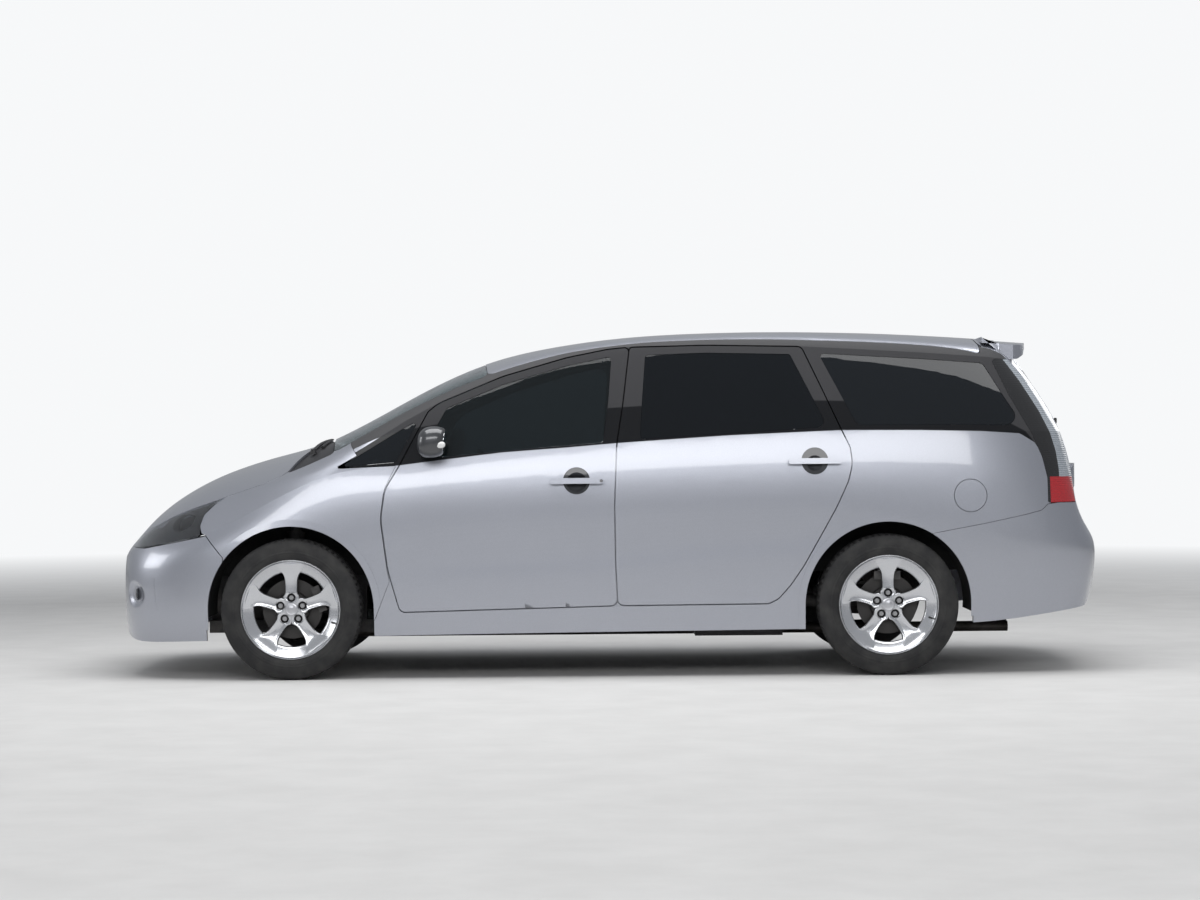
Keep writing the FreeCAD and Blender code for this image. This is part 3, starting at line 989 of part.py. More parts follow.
def turned(body, name, points):
    sketch = sketch_on(body, name + "_profile", [points])
    ring = body.newObject("PartDesign::Revolution", name)
    ring.Profile = sketch
    ring.ReferenceAxis = (sketch, ["V_Axis"])
    ring.Angle = 360
    return ring


def around(body, feature, sketch, name):
    ring = body.newObject("PartDesign::PolarPattern", name)
    ring.Originals = [feature]
    ring.Axis = (sketch, ["N_Axis"])
    ring.Angle = 360
    ring.setExpression("Occurrences", "sizes.spoke_count")
    body.Tip = ring
    return ring


spoke_shares = [(-0.125, 0.22), (-0.110, 0.45), (-0.125, 0.62), (-0.165, 0.80), (-0.185, 0.875), (0.185, 0.875),
                (0.165, 0.80), (0.125, 0.62), (0.110, 0.45), (0.125, 0.22)]
face_shares = [(0.24, 0.64), (0.50, 0.62), (0.68, 0.68), (0.80, 0.80), (0.88, 0.86), (0.95, 1.1), (0.24, 1.1)]
web_shares = [(-0.045, 0.36), (-0.030, 0.60), (-0.060, 0.86), (0.060, 0.86), (0.030, 0.60), (0.045, 0.36)]
spoke_points = [(x * rim_r, z * rim_r) for x, z in spoke_shares]
face_points = [(r * rim_r, w * flange) for r, w in face_shares]
web_points = [(x * rim_r, z * rim_r) for x, z in web_shares]
wheel_places = {"front_left": (FRONT, -1, size("front_wheel_turn")), "front_right": (FRONT, 1, size("front_wheel_turn")),
                "rear_left": (FRONT + " + sizes.wheelbase", -1, 0), "rear_right": (FRONT + " + sizes.wheelbase", 1, 0)}
for name, (x, side, turn) in wheel_places.items():
    for kind in ("tyre", "rim"):
        label = f"{kind}_{name}"
        body = doc.addObject("PartDesign::Body", label)
        body.Label = label
        if kind == "tyre":
            turned(body, "ring", tyre_points)
        else:
            turned(body, "barrel", rim_points)
            turned(body, "hub", hub_points)
            sketch = sketch_on(body, "spoke_outline", [spoke_points], cone)
            spoke = body.newObject("PartDesign::Pad", "spoke")
            spoke.Profile = sketch
            spoke.Reversed = True
            spoke.setExpression("Length", "sizes.spoke_depth")
            around(body, spoke, sketch, "spokes")
            cut_sketch = sketch_on(body, "face_profile", [face_points])
            face = body.newObject("PartDesign::Groove", "face")
            face.Profile = cut_sketch
            face.ReferenceAxis = (cut_sketch, ["V_Axis"])
            face.Angle = 360
            stud_z = size("stud_circle") / 2
            sketch = sketch_on(body, "stud_outline", [(0, stud_z, size("stud_pocket") / 2)], hub_front)
            stud = body.newObject("PartDesign::Pocket", "stud")
            stud.Profile = sketch
            stud.setExpression("Length", "sizes.stud_pocket_depth")
            around(body, stud, sketch, "studs")
        body.Placement = FreeCAD.Placement(Vector(0, 0, 0), FreeCAD.Rotation(Vector(0, 0, 1), 90 - 90 * side).multiply(
            FreeCAD.Rotation(Vector(0, 1, 0), turn)))
        body.setExpression("Placement.Base.x", x)
        body.setExpression("Placement.Base.y", f"{side} * sizes.track / 2")
        body.setExpression("Placement.Base.z", "sizes.tyre_diameter / 2")
        pieces[label] = body

# Knuckles with caliper and strut, and the rear axle

half_track = size("track") / 2
cheek, gap_w = size("caliper_thickness"), size("disc_gap")
slot_low, slot_high = -disc_half - gap_w, disc_half + gap_w
caliper_shares = ((-0.44, 0.44), (0.82, 1.10), (0.22, 0.86))
carrier_r, carrier_w = size("carrier_diameter") / 2, size("carrier_width")
carrier_y = half_track + hub_back - size("disc_gap") / 2


def caliper(x, angle):
    """A brake caliper over the left disc: two cheeks and a bridge, held on a stalk from the hub carrier."""
    (xs, zs, stalk) = caliper_shares
    low, high = -half_track - slot_high - cheek, -half_track - slot_low + 2 * cheek
    bridge = block(xs[0] * disc_r, xs[1] * disc_r, low, high, zs[0] * disc_r, zs[1] * disc_r)
    stalk = block(xs[0] * disc_r / 2, xs[1] * disc_r / 2, -half_track - slot_low, high, stalk[0] * disc_r,
                  stalk[1] * disc_r)
    slot = Part.makeCylinder(disc_r + gap_w, slot_high - slot_low, Vector(0, -half_track - slot_low, 0), Vector(0, -1, 0))
    made = bridge.cut(slot).fuse(stalk)
    made.rotate(Vector(0, 0, 0), Vector(0, 1, 0), angle)
    made.translate(Vector(x, 0, wheel_z))
    return made


axis = (left_top - left_ball).normalize()
strut_length = (left_top - left_ball).Length
strut_r, spring_r = size("strut_diameter") / 2, size("spring_diameter") / 2
foot = left_ball + axis * (ball_r + size("mirror_gap"))
knuckle = [Part.makeCylinder(carrier_r, carrier_w, Vector(front_axle_x, -carrier_y + carrier_w, wheel_z), Vector(0, -1, 0)),
           Part.makeCylinder(shaft_r, hub_depth_shares["bore"] * flange - hub_back, Vector(front_axle_x, -carrier_y, wheel_z),
                             Vector(0, -1, 0)),
           rod(foot, left_ball + axis * 0.30 * strut_length, 0.9 * strut_r),
           rod(left_ball + axis * 0.28 * strut_length, left_top, strut_r),
           rod(left_top - axis * 0.22 * strut_length, left_top - axis * 0.04 * strut_length, spring_r)]
knuckle.append(caliper(front_axle_x, size("front_caliper_turn")))
for name, solid in zip(("left", "right"), both(knuckle[0].multiFuse(knuckle[1:]))):
    piece(f"knuckle_{name}", solid)

beam_x_share, arm_start_share, arm_ys, spring_x_share, spring_y_share = 0.919, 0.863, (0.49, 0.49), 0.947, 0.49
tube_r, trail_r = size("axle_tube_diameter") / 2, size("trailing_arm_diameter") / 2
bracket_shares = ((0.857, 0.871), (0.457, 0.523), (0.20, rear_floor_share))
rear_left = [rod(Vector(at_x(arm_start_share), -at_y(arm_ys[0]), wheel_z), Vector(rear_axle_x, -at_y(arm_ys[1]), wheel_z),
                 trail_r),
             Part.makeCylinder(carrier_r, carrier_y - at_y(arm_ys[1]), Vector(rear_axle_x, -at_y(arm_ys[1]), wheel_z),
                               Vector(0, -1, 0)),
             Part.makeCylinder(shaft_r, bore_end - hub_back, Vector(rear_axle_x, -carrier_y, wheel_z), Vector(0, -1, 0)),
             mirror_of_share_block(bracket_shares),
             rod(Vector(at_x(spring_x_share), -at_y(spring_y_share), wheel_z),
                 Vector(at_x(spring_x_share), -at_y(spring_y_share), at_z(rear_floor_share)), 0.8 * spring_r),
             caliper(rear_axle_x, 0)]
beam = rod(Vector(at_x(beam_x_share), -at_y(arm_ys[0]), wheel_z), Vector(at_x(beam_x_share), at_y(arm_ys[0]), wheel_z), tube_r)
rear_left = rear_left[0].multiFuse(rear_left[1:])
piece("rear_axle", beam.multiFuse(both(rear_left)))

# Dashboard with its console and column, and the steering wheel

dash_shares = [(bulkhead_x_share, 0.40, 0), (bulkhead_x_share, 0.585, 0.006), (0.169, 0.597, 0.02), (0.235, 0.592, 0.02),
               (0.262, 0.570, 0.02), (0.272, 0.530, 0.03), (0.245, 0.40, 0.03)]
hood_shares = [(0.225, 0.585, 0.01), (0.232, 0.618, 0.015), (0.268, 0.612, 0.01), (0.268, 0.56, 0.01), (0.24, 0.56, 0.01)]
console_shares = [((0.20, 0.50), (-0.12, 0.12), (0.2055, 0.335)), ((bulkhead_x_share, 0.268), (-0.17, 0.17), (0.2055, 0.46))]
wheel_shares = (0.338, -0.412, 0.547)
column_way_share = (0.906, 0, 0.423)
inside = part_hull(door_wall + frame_step + plate_t, roof_wall + rail_step + plate_t, middle_region, size("hem_drop"),
                   FRAME_START)
inside = inside.fuse(both(inside)[1])
dash = outline(side_view(dash_shares), lambda x, z: Vector(x, -HUGE, z)).extrude(Vector(0, 2 * HUGE, 0)).common(inside)
hood = outline(side_view(hood_shares), lambda x, z: Vector(x, at_y(wheel_shares[1]) - 0.2 * half_width, z)).extrude(
    Vector(0, 0.4 * half_width, 0))
hub = Vector(at_x(wheel_shares[0]), at_y(wheel_shares[1]), at_z(wheel_shares[2]))
column_way = Vector(*column_way_share).normalize()
ring_r, boss_r = size("wheel_ring_diameter") / 2, size("boss_diameter") / 2
column = rod(hub - column_way * 1.8 * ring_r, hub - column_way * (0.16 * ring_r + size("column_play")),
             size("column_diameter") / 2)
piece("dashboard", dash.multiFuse([hood, column, *[share_block(*shares) for shares in console_shares]]))

aim = FreeCAD.Rotation(Vector(0, 0, 1), column_way)
ring = doc.addObject("Part::Torus", "wheel_ring")
ring.setExpression("Radius1", "sizes.wheel_ring_diameter / 2")
ring.setExpression("Radius2", "sizes.wheel_ring_thickness / 2")
ring.Placement = FreeCAD.Placement(hub, aim)
boss = doc.addObject("Part::Cylinder", "wheel_boss")
boss.setExpression("Radius", "sizes.boss_diameter / 2")
boss.setExpression("Height", "sizes.boss_diameter / 2")
boss.Placement = FreeCAD.Placement(hub - column_way * 0.16 * ring_r, aim)
bars = []
down = Vector(0, 1, 0).cross(column_way)
down = down if down.z < 0 else -down
for index, way in enumerate((Vector(0, -1, 0), Vector(0, 1, 0), down)):
    bar = doc.addObject("Part::Cylinder", f"wheel_bar_{index}")
    bar.setExpression("Radius", "sizes.wheel_bar_diameter / 2")
    bar.setExpression("Height", "sizes.wheel_ring_diameter / 2")
    bar.Placement = FreeCAD.Placement(hub, FreeCAD.Rotation(Vector(0, 0, 1), way))
    bars.append(bar)
steering = doc.addObject("Part::MultiFuse", "steering_wheel")
steering.Label = "steering_wheel"
steering.Shapes = [ring, boss, *bars]
pieces["steering_wheel"] = steering

# Seats: cushion, back and head restraints of each row

seat_back_shares = [(0.050, 0.06, 0.01), (0.117, 0.448, 0.02), (0.156, 0.440, 0.02), (0.103, 0.06, 0.01)]
cushion_shares = [(-0.102, 0, 0.006), (-0.106, 0.151, 0.03), (0.071, 0.127, 0.01), (0.071, 0, 0.006)]
head_rest_shares = [(0.124, 0.42, 0.003), (0.127, 0.532, 0.015), (0.162, 0.532, 0.015), (0.155, 0.42, 0.003)]
head_half_share = 0.134
seat_rows = {"front_seats": [(0.444, (-0.69, -0.145), floor_top_share, [-0.418]), (0.444, (0.145, 0.69), floor_top_share, [0.418])],
             "rear_seats": [(0.717, (-0.71, 0.71), floor_top_share, [-0.446, 0, 0.446]),
                            (1.050, (-0.50, 0.50), rear_floor_top_share, [-0.25, 0.25])]}


def seat_form(shares, x_share, z_share, y_shares):
    face = outline([(at_x(x_share + x), at_z(z_share + z), r * height) for x, z, r in shares],
                   lambda a, b: Vector(a, at_y(y_shares[0]), b))
    return face.extrude(Vector(0, at_y(y_shares[1]) - at_y(y_shares[0]), 0))


for label, rows in seat_rows.items():
    made = []
    for x_share, y_shares, z_share, heads in rows:
        forms = [seat_form(seat_back_shares, x_share, z_share, y_shares)]
        forms += [seat_form(head_rest_shares, x_share, z_share, (y - head_half_share, y + head_half_share)) for y in heads]
        made.append(seat_form(cushion_shares, x_share, z_share, y_shares).multiFuse(forms))
    piece(label, *made)

# Door mirrors

mirror_y_shares = (0.965, 1.035, 1.115, 1.152)
mirror_scale_shares = (0.80, 1.0, 0.96, 0.70)
mirror_shares = [(-0.026, -0.036), (-0.014, -0.044), (0.022, -0.040), (0.0265, -0.030), (0.0265, 0.034), (0.022, 0.044),
                 (-0.014, 0.043), (-0.024, 0.030)]
mirror_centre_shares = (0.241, 0.680)
arm_shares = [(0.226, 0.628, 0.004), (0.222, 0.655, 0.004), (0.254, 0.664, 0.004), (0.258, 0.628, 0.004)]
sections = []
for y_share, scale in zip(mirror_y_shares, mirror_scale_shares):
    ring = [Vector(at_x(mirror_centre_shares[0] + scale * x), -at_y(y_share), at_z(mirror_centre_shares[1] + scale * z))
            for x, z in mirror_shares]
    curve = Part.BSplineCurve()
    curve.interpolate(ring, PeriodicFlag=True)
    sections.append(Part.Wire(curve.toShape()))
housing = Part.makeLoft(sections, True, False)
stem = side_prism(side_view(arm_shares), 0.8).common(block(-HUGE, HUGE, -at_y(1.0), 0, 0, HUGE))
mirror_gap = size("mirror_gap")
near_skin = part_hull(-mirror_gap, -mirror_gap, block(at_x(0.15), at_x(0.35), -HUGE, 0, at_z(0.5), at_z(0.8)))
mirror = housing.fuse(stem).cut(near_skin)
mirror = max(mirror.Solids, key=lambda solid: solid.Volume)
for name, solid in zip(("left", "right"), both(mirror)):
    piece(f"door_mirror_{name}", solid)

doc.recompute()
for thing in doc.Objects:
    if "Invalid" in thing.State or "Error" in thing.State:
        raise RuntimeError(f"{thing.Label} didn't recompute: {thing.State}")
os.makedirs("parts", exist_ok=True)
for name, feature in pieces.items():
    shape = feature.Shape
    if shape.isNull() or not shape.isValid() or not shape.Solids:
        raise RuntimeError(f"{name} has no valid solid")
    print(name, len(shape.Solids), round(shape.Volume / 1e6, 3))
    shape.exportStep(f"parts/{name}.step")
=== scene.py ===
"""A family minivan in metallic silver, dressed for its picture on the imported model."""
import math

import bmesh
import bpy
from mathutils import Matrix, Vector, noise
from mathutils.bvhtree import BVHTree


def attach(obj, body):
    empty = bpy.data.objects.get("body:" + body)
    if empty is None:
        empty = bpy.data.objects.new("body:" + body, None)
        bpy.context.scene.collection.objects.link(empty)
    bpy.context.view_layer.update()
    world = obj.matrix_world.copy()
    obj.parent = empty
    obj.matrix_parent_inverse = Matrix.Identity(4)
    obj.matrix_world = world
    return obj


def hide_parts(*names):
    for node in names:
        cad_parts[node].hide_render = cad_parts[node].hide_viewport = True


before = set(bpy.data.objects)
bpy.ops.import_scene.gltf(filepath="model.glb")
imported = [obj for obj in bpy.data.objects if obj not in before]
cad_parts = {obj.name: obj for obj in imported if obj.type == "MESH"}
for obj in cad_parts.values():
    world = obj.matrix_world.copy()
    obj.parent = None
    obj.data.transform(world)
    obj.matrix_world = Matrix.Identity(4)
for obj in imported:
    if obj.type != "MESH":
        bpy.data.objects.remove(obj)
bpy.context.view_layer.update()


# The studio: a pale concrete floor and a soft pale room round the car. Neither is part of it, and
# the camera stands level with the belt line, square to the left side.

CAMERA_PLACE, CAMERA_ROLL = (-0.0475, -14.05, 1.1042), 0.493
LENS_MM, SENSOR_MM, LENS_SHIFT = 83.58, 36, -0.00478
camera_data = bpy.data.cameras.new("side_camera")
camera_data.lens = LENS_MM
camera_data.sensor_width = SENSOR_MM
camera_data.shift_y = LENS_SHIFT
camera = bpy.data.objects.new("side_camera", camera_data)
camera.location = CAMERA_PLACE
camera.rotation_euler = (math.radians(90), math.radians(CAMERA_ROLL), 0)
bpy.context.scene.collection.objects.link(camera)
bpy.context.scene.camera = camera
bpy.context.scene.view_settings.view_transform = "Standard"


def soft_lamp(name, place, aim, width, height, watts):
    """A large soft studio lamp."""
    data = bpy.data.lights.new(name, "AREA")
    data.shape = "RECTANGLE"
    data.size, data.size_y = width, height
    data.energy = watts
    lamp = bpy.data.objects.new(name, data)
    lamp.location = place
    lamp.rotation_euler = (Vector(aim) - Vector(place)).to_track_quat("-Z", "Y").to_euler()
    bpy.context.scene.collection.objects.link(lamp)


soft_lamp("roof_lamp", (0.2, -1.2, 6.2), (0, 0, 0.5), 8.0, 4.5, 420)
soft_lamp("side_lamp", (-0.6, -9.5, 3.9), (0, 0, 1.1), 9.5, 1.8, 250)
soft_lamp("front_lamp", (-9.0, -1.5, 3.0), (-1.5, 0, 0.8), 3.5, 2.5, 90)
soft_lamp("back_lamp", (7.0, 6.5, 4.0), (0.5, 0, 0.8), 5.0, 2.5, 90)

SEEN_ROOM, LIT_ROOM = (0.93, 0.94, 0.95, 1), (0.92, 0.95, 1.0, 1)
room = bpy.data.worlds.new("pale_room")
bpy.context.scene.world = room
room.use_nodes = True
nodes, links = room.node_tree.nodes, room.node_tree.links
nodes.clear()
seen, filled = nodes.new("ShaderNodeBackground"), nodes.new("ShaderNodeBackground")
seen.inputs["Color"].default_value = SEEN_ROOM
seen.inputs["Strength"].default_value = 1.0
filled.inputs["Color"].default_value = LIT_ROOM
filled.inputs["Strength"].default_value = 0.36
path, either = nodes.new("ShaderNodeLightPath"), nodes.new("ShaderNodeMath")
either.operation = "MAXIMUM"
links.new(path.outputs["Is Camera Ray"], either.inputs[0])
links.new(path.outputs["Is Transmission Ray"], either.inputs[1])
mix, out = nodes.new("ShaderNodeMixShader"), nodes.new("ShaderNodeOutputWorld")
links.new(either.outputs[0], mix.inputs[0])
links.new(filled.outputs[0], mix.inputs[1])
links.new(seen.outputs[0], mix.inputs[2])
links.new(mix.outputs[0], out.inputs[0])


def finish(name, colour, roughness=0.5, **sockets):
    """A procedural material with its shader's plain values set; sockets are named with _ for a space."""
    material = bpy.data.materials.new(name)
    material.use_nodes = True
    shader = material.node_tree.nodes["Principled BSDF"]
    shader.inputs["Base Color"].default_value = (*colour, 1)
    shader.inputs["Roughness"].default_value = roughness
    for socket, value in sockets.items():
        shader.inputs[socket.replace("_", " ")].default_value = value
    material.diffuse_color = (*colour, 1)
    return material


def node(material, kind, **values):
    """A new node in a material; a value set by an input's name, with _ for a space, or by a property."""
    fresh = material.node_tree.nodes.new(kind)
    for name, value in values.items():
        if hasattr(fresh, name):
            setattr(fresh, name, value)
        else:
            fresh.inputs[name.replace("_", " ")].default_value = value
    return fresh


def wire(material, *pairs):
    """For each pair, links an output to an input, or sets the input to a plain value."""
    for value, target in pairs:
        if isinstance(value, bpy.types.NodeSocket):
            material.node_tree.links.new(value, target)
        else:
            target.default_value = value


def shader_of(material):
    """The material's main shader."""
    return material.node_tree.nodes["Principled BSDF"]


def object_point(material):
    """The place on the object, in metres."""
    return node(material, "ShaderNodeTexCoord").outputs["Object"]


def texture(material, kind, output="Fac", **values):
    """An output of a procedural texture that runs through the object."""
    fresh = node(material, kind, **values)
    wire(material, (object_point(material), fresh.inputs["Vector"]))
    return fresh.outputs[output]


def maths(material, operation, *values):
    """What an operation makes of one or two outputs or numbers."""
    fresh = node(material, "ShaderNodeMath", operation=operation)
    wire(material, *zip(values, fresh.inputs))
    return fresh.outputs[0]


def ranged(material, value, start, end, low=0.0, high=1.0):
    """A value spread from one range to another and held at its ends."""
    spread = node(material, "ShaderNodeMapRange", From_Min=start, From_Max=end, To_Min=low, To_Max=high)
    wire(material, (value, spread.inputs["Value"]))
    return spread.outputs["Result"]


def distance_from(material, point, place):
    """How far a point that is an output lies from a fixed place."""
    far = node(material, "ShaderNodeVectorMath", operation="DISTANCE")
    wire(material, (point, far.inputs[0]), (place, far.inputs[1]))
    return far.outputs["Value"]


def shaded(material, value, low, dark, high, light):
    """A colour that runs from one shade at a low value to another at a high one."""
    ramp = node(material, "ShaderNodeValToRGB")
    for element, position, colour in zip(ramp.color_ramp.elements, (low, high), (dark, light)):
        element.position = position
        element.color = (*colour, 1)
    wire(material, (value, ramp.inputs["Fac"]))
    return ramp.outputs["Color"]


def mottle(material, scale, dark, light):
    """Two shades of a colour that run into each other, such as dust, cast skin or worn cloth."""
    cloud = texture(material, "ShaderNodeTexNoise", Scale=scale, Detail=5, Roughness=0.6)
    colour = shaded(material, cloud, 0.35, dark, 0.65, light)
    wire(material, (colour, shader_of(material).inputs["Base Color"]))


floor_finish = finish("pale_floor", (0.62, 0.61, 0.60), 0.75)
mottle(floor_finish, 3.0, (0.60, 0.595, 0.585), (0.645, 0.64, 0.63))
shape = bmesh.new()
bmesh.ops.create_grid(shape, x_segments=1, y_segments=1, size=40)
floor_mesh = bpy.data.meshes.new("floor")
shape.to_mesh(floor_mesh)
shape.free()
floor_mesh.materials.append(floor_finish)
floor = bpy.data.objects.new("floor", floor_mesh)
bpy.context.scene.collection.objects.link(floor)
white = node(floor_finish, "ShaderNodeEmission", Color=SEEN_ROOM, Strength=1.0)
blend = node(floor_finish, "ShaderNodeMixShader")
camera_ray = node(floor_finish, "ShaderNodeLightPath").outputs["Is Camera Ray"]
away = distance_from(floor_finish, object_point(floor_finish), (0, 0, 0))
shown = maths(floor_finish, "MULTIPLY", ranged(floor_finish, away, 7.0, 16.0), camera_ray)
surface = floor_finish.node_tree.nodes["Material Output"].inputs["Surface"]
wire(floor_finish, (shown, blend.inputs[0]), (shader_of(floor_finish).outputs[0], blend.inputs[1]),
     (white.outputs[0], blend.inputs[2]), (blend.outputs[0], surface))


# The shell: pressed steel panels and plastic bumpers, sprayed in one silver metallic under clear
# lacquer, bolted and welded with even shut gaps. The pillars and window frames are wrapped in black.

SILVER = (0.40, 0.415, 0.465)
# A line's heights are kept as shares of this many metres, and its edge blurs over twice EDGE.
LINE_TOP, EDGE = 2, 0.0012


def dress(material, *names):
    """Gives CAD nodes their finish."""
    for name in names:
        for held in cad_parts[name].material_slots:
            held.material = material


def bumpy(material, height, strength, distance, socket="Normal"):
    """Relief over the whole surface from an output, up to the distance in metres."""
    relief = node(material, "ShaderNodeBump", Strength=strength, Distance=distance)
    wire(material, (height, relief.inputs["Height"]),
         (relief.outputs["Normal"], shader_of(material).inputs[socket]))


def silver_paint(name):
    """Metallic base coat with fine flakes and a clear coat with a little orange peel."""
    paint = finish(name, SILVER, 0.36, Metallic=0.82, Coat_Weight=1.0, Coat_Roughness=0.045, Coat_IOR=1.5)
    flakes = texture(paint, "ShaderNodeTexVoronoi", "Color", Scale=900.0)
    shade = shaded(paint, flakes, 0, [0.90 * part for part in SILVER], 1, [1.10 * part for part in SILVER])
    bumpy(paint, texture(paint, "ShaderNodeTexNoise", Scale=240.0, Detail=2), 0.035, 0.0008, "Coat Normal")
    wire(paint, (shade, shader_of(paint).inputs["Base Color"]))
    return paint, shade


def place_on(material):
    """The place on the object as its x, y and z, in metres."""
    split = node(material, "ShaderNodeSeparateXYZ")
    wire(material, (object_point(material), split.inputs[0]))
    return tuple(split.outputs)


def above(material, points):
    """0 below a line given as pairs of x and z in metres, and 1 above it, with a fine edge."""
    low, high = points[0][0], points[-1][0]
    x, _, z = place_on(material)
    line = node(material, "ShaderNodeFloatCurve")
    curve = line.mapping.curves[0]
    for index, (at, height) in enumerate(points):
        place = ((at - low) / (high - low), height / LINE_TOP)
        if index < 2:
            curve.points[index].location = place
        else:
            curve.points.new(*place)
    for point in curve.points:
        point.handle_type = "VECTOR"
    line.mapping.update()
    wire(material, (ranged(material, x, low, high), line.inputs["Value"]))
    line_z = maths(material, "MULTIPLY", line.outputs["Value"], LINE_TOP)
    return ranged(material, maths(material, "SUBTRACT", z, line_z), -EDGE, EDGE)


def mixed(material, factor, low, high):
    """A colour between two, each of them a colour or an output."""
    blend = node(material, "ShaderNodeMix", data_type="RGBA")
    wire(material, (factor, blend.inputs[0]))
    for colour, target in ((low, blend.inputs[6]), (high, blend.inputs[7])):
        wire(material, (colour if isinstance(colour, bpy.types.NodeSocket) else (*colour, 1), target))
    return blend.outputs[2]


body_paint, _ = silver_paint("silver_metallic")
dress(body_paint, "bonnet", "roof_panel", "tailgate", "front_bumper", "front_fenders", "rear_bumper",
      "fuel_flap")

BELT = [(-1.50, 1.30), (-1.318, 0.992), (-1.304, 0.986), (-1.010, 1.011), (-0.811, 1.035), (-0.509, 1.070),
        (-0.207, 1.090), (0.043, 1.110), (0.558, 1.141), (1.101, 1.162), (1.464, 1.159), (1.766, 1.151),
        (1.948, 1.139), (2.023, 1.093), (2.060, 1.026), (2.082, 0.934), (2.090, 0.700), (2.400, 0.600)]
FRAME_TOP = [(-1.50, 0.800), (-1.330, 1.003), (-1.127, 1.126), (-0.973, 1.224), (-0.819, 1.307),
             (-0.511, 1.435), (-0.205, 1.524), (0.053, 1.568), (0.154, 1.575), (0.873, 1.569),
             (1.180, 1.552), (1.487, 1.533), (1.831, 1.508), (1.96, 1.495), (2.40, 1.460)]
wrapped_paint, silver = silver_paint("silver_and_black_wrap")
shader = shader_of(wrapped_paint)
under_top = maths(wrapped_paint, "SUBTRACT", 1.0, above(wrapped_paint, FRAME_TOP))
black = maths(wrapped_paint, "MULTIPLY", under_top, above(wrapped_paint, BELT))
wrapped = mixed(wrapped_paint, black, silver, (0.006, 0.0065, 0.008))
metal = ranged(wrapped_paint, black, 0, 1, 0.82, 0.0)

# The inner side of doors and frames, nearer the middle of the car than this, is a grained trim.
TRIM_Y, TRIM_COLOUR = 0.800, (0.045, 0.045, 0.048)
x, y, z = place_on(wrapped_paint)
outwards = maths(wrapped_paint, "ABSOLUTE", y)
inside = ranged(wrapped_paint, outwards, TRIM_Y - 0.001, TRIM_Y + 0.001, 1.0, 0.0)
trimmed = mixed(wrapped_paint, inside, wrapped, TRIM_COLOUR)
lacquer = ranged(wrapped_paint, inside, 0, 1, 1.0, 0.0)
thin = ranged(wrapped_paint, black, 0, 1, 1.0, 0.30)
wire(wrapped_paint, (ranged(wrapped_paint, inside, 0, 1, 0.36, 0.7), shader.inputs["Roughness"]),
     (maths(wrapped_paint, "MULTIPLY", lacquer, metal), shader.inputs["Metallic"]),
     (maths(wrapped_paint, "MULTIPLY", thin, lacquer), shader.inputs["Coat Weight"]),
     (ranged(wrapped_paint, black, 0, 1, 0.5, 0.1), shader.inputs["Specular IOR Level"]))

# The round cups behind the handles are painted dark, as painted shade in the recess, up to the bars that
# stand over them.
CUPS, CUP_R, BAR_Y = [(-0.160, 0.9326), (0.9675, 1.017)], 0.064, 0.89925
flat = node(wrapped_paint, "ShaderNodeCombineXYZ")
wire(wrapped_paint, (x, flat.inputs["X"]), (z, flat.inputs["Z"]))
near = [ranged(wrapped_paint, distance_from(wrapped_paint, flat.outputs[0], (cup_x, 0, cup_z)),
               CUP_R + 0.0005, CUP_R - 0.0005) for cup_x, cup_z in CUPS]
behind_bar = ranged(wrapped_paint, outwards, BAR_Y + 0.00025, BAR_Y - 0.00025)
cup_shade = maths(wrapped_paint, "MULTIPLY", maths(wrapped_paint, "ADD", *near), behind_bar)
# Painted shade: the cups are darkened behind the bars, where shade falls in the recess.
wire(wrapped_paint, (mixed(wrapped_paint, cup_shade, trimmed, (0.030, 0.031, 0.034)),
                     shader.inputs["Base Color"]))
dress(wrapped_paint, "side_frames", "front_door_left", "front_door_right", "rear_door_left",
      "rear_door_right")


# Glass: laminated windscreen and toughened side windows, nearly black privacy glass behind the
# front doors, bonded or held in rubber runs.

tinted = finish("tinted_glass", (0.06, 0.08, 0.09), 0.02, Transmission_Weight=0.92, IOR=1.38)
dark_glass = finish("privacy_glass", (0.010, 0.013, 0.017), 0.02, Transmission_Weight=0.55, IOR=1.38)
SCREEN_TINT, PRIVACY_TINT = (0.30, 0.35, 0.37), (0.012, 0.016, 0.021)
fixed_panes = finish("windscreen_and_quarter_glass", SCREEN_TINT, 0.02, IOR=1.45)
x, y, _ = place_on(fixed_panes)
behind = maths(fixed_panes, "GREATER_THAN", x, 0.4)
beside = maths(fixed_panes, "GREATER_THAN", maths(fixed_panes, "ABSOLUTE", y), 0.775)
darkened = maths(fixed_panes, "MAXIMUM", behind, beside)
shader = shader_of(fixed_panes)
wire(fixed_panes, (mixed(fixed_panes, darkened, SCREEN_TINT, PRIVACY_TINT), shader.inputs["Base Color"]),
     (ranged(fixed_panes, darkened, 0, 1, 0.92, 0.55), shader.inputs["Transmission Weight"]))
for pane in (tinted, dark_glass, fixed_panes):
    film = texture(pane, "ShaderNodeTexNoise", Scale=1.6, Detail=2)
    wire(pane, (ranged(pane, film, 0, 1, 0.0, 0.02), shader_of(pane).inputs["Roughness"]))
dress(tinted, "front_door_left_glass", "front_door_right_glass")
dress(fixed_panes, "fixed_glass")
dress(dark_glass, "rear_door_left_glass", "rear_door_right_glass", "tailgate_glass")


# Unpainted plastic and running gear: moulded black cowl, grille and wheel liners, cast and welded
# steel below, all dull with road dust; the exhaust is painted far darker than bare steel, as painted shade.


def grain(material, scale, strength, distance):
    """Fine relief over the whole surface, such as moulded plastic, cast metal or orange peel."""
    bumpy(material, texture(material, "ShaderNodeTexNoise", Scale=scale, Detail=3), strength, distance)
    return material


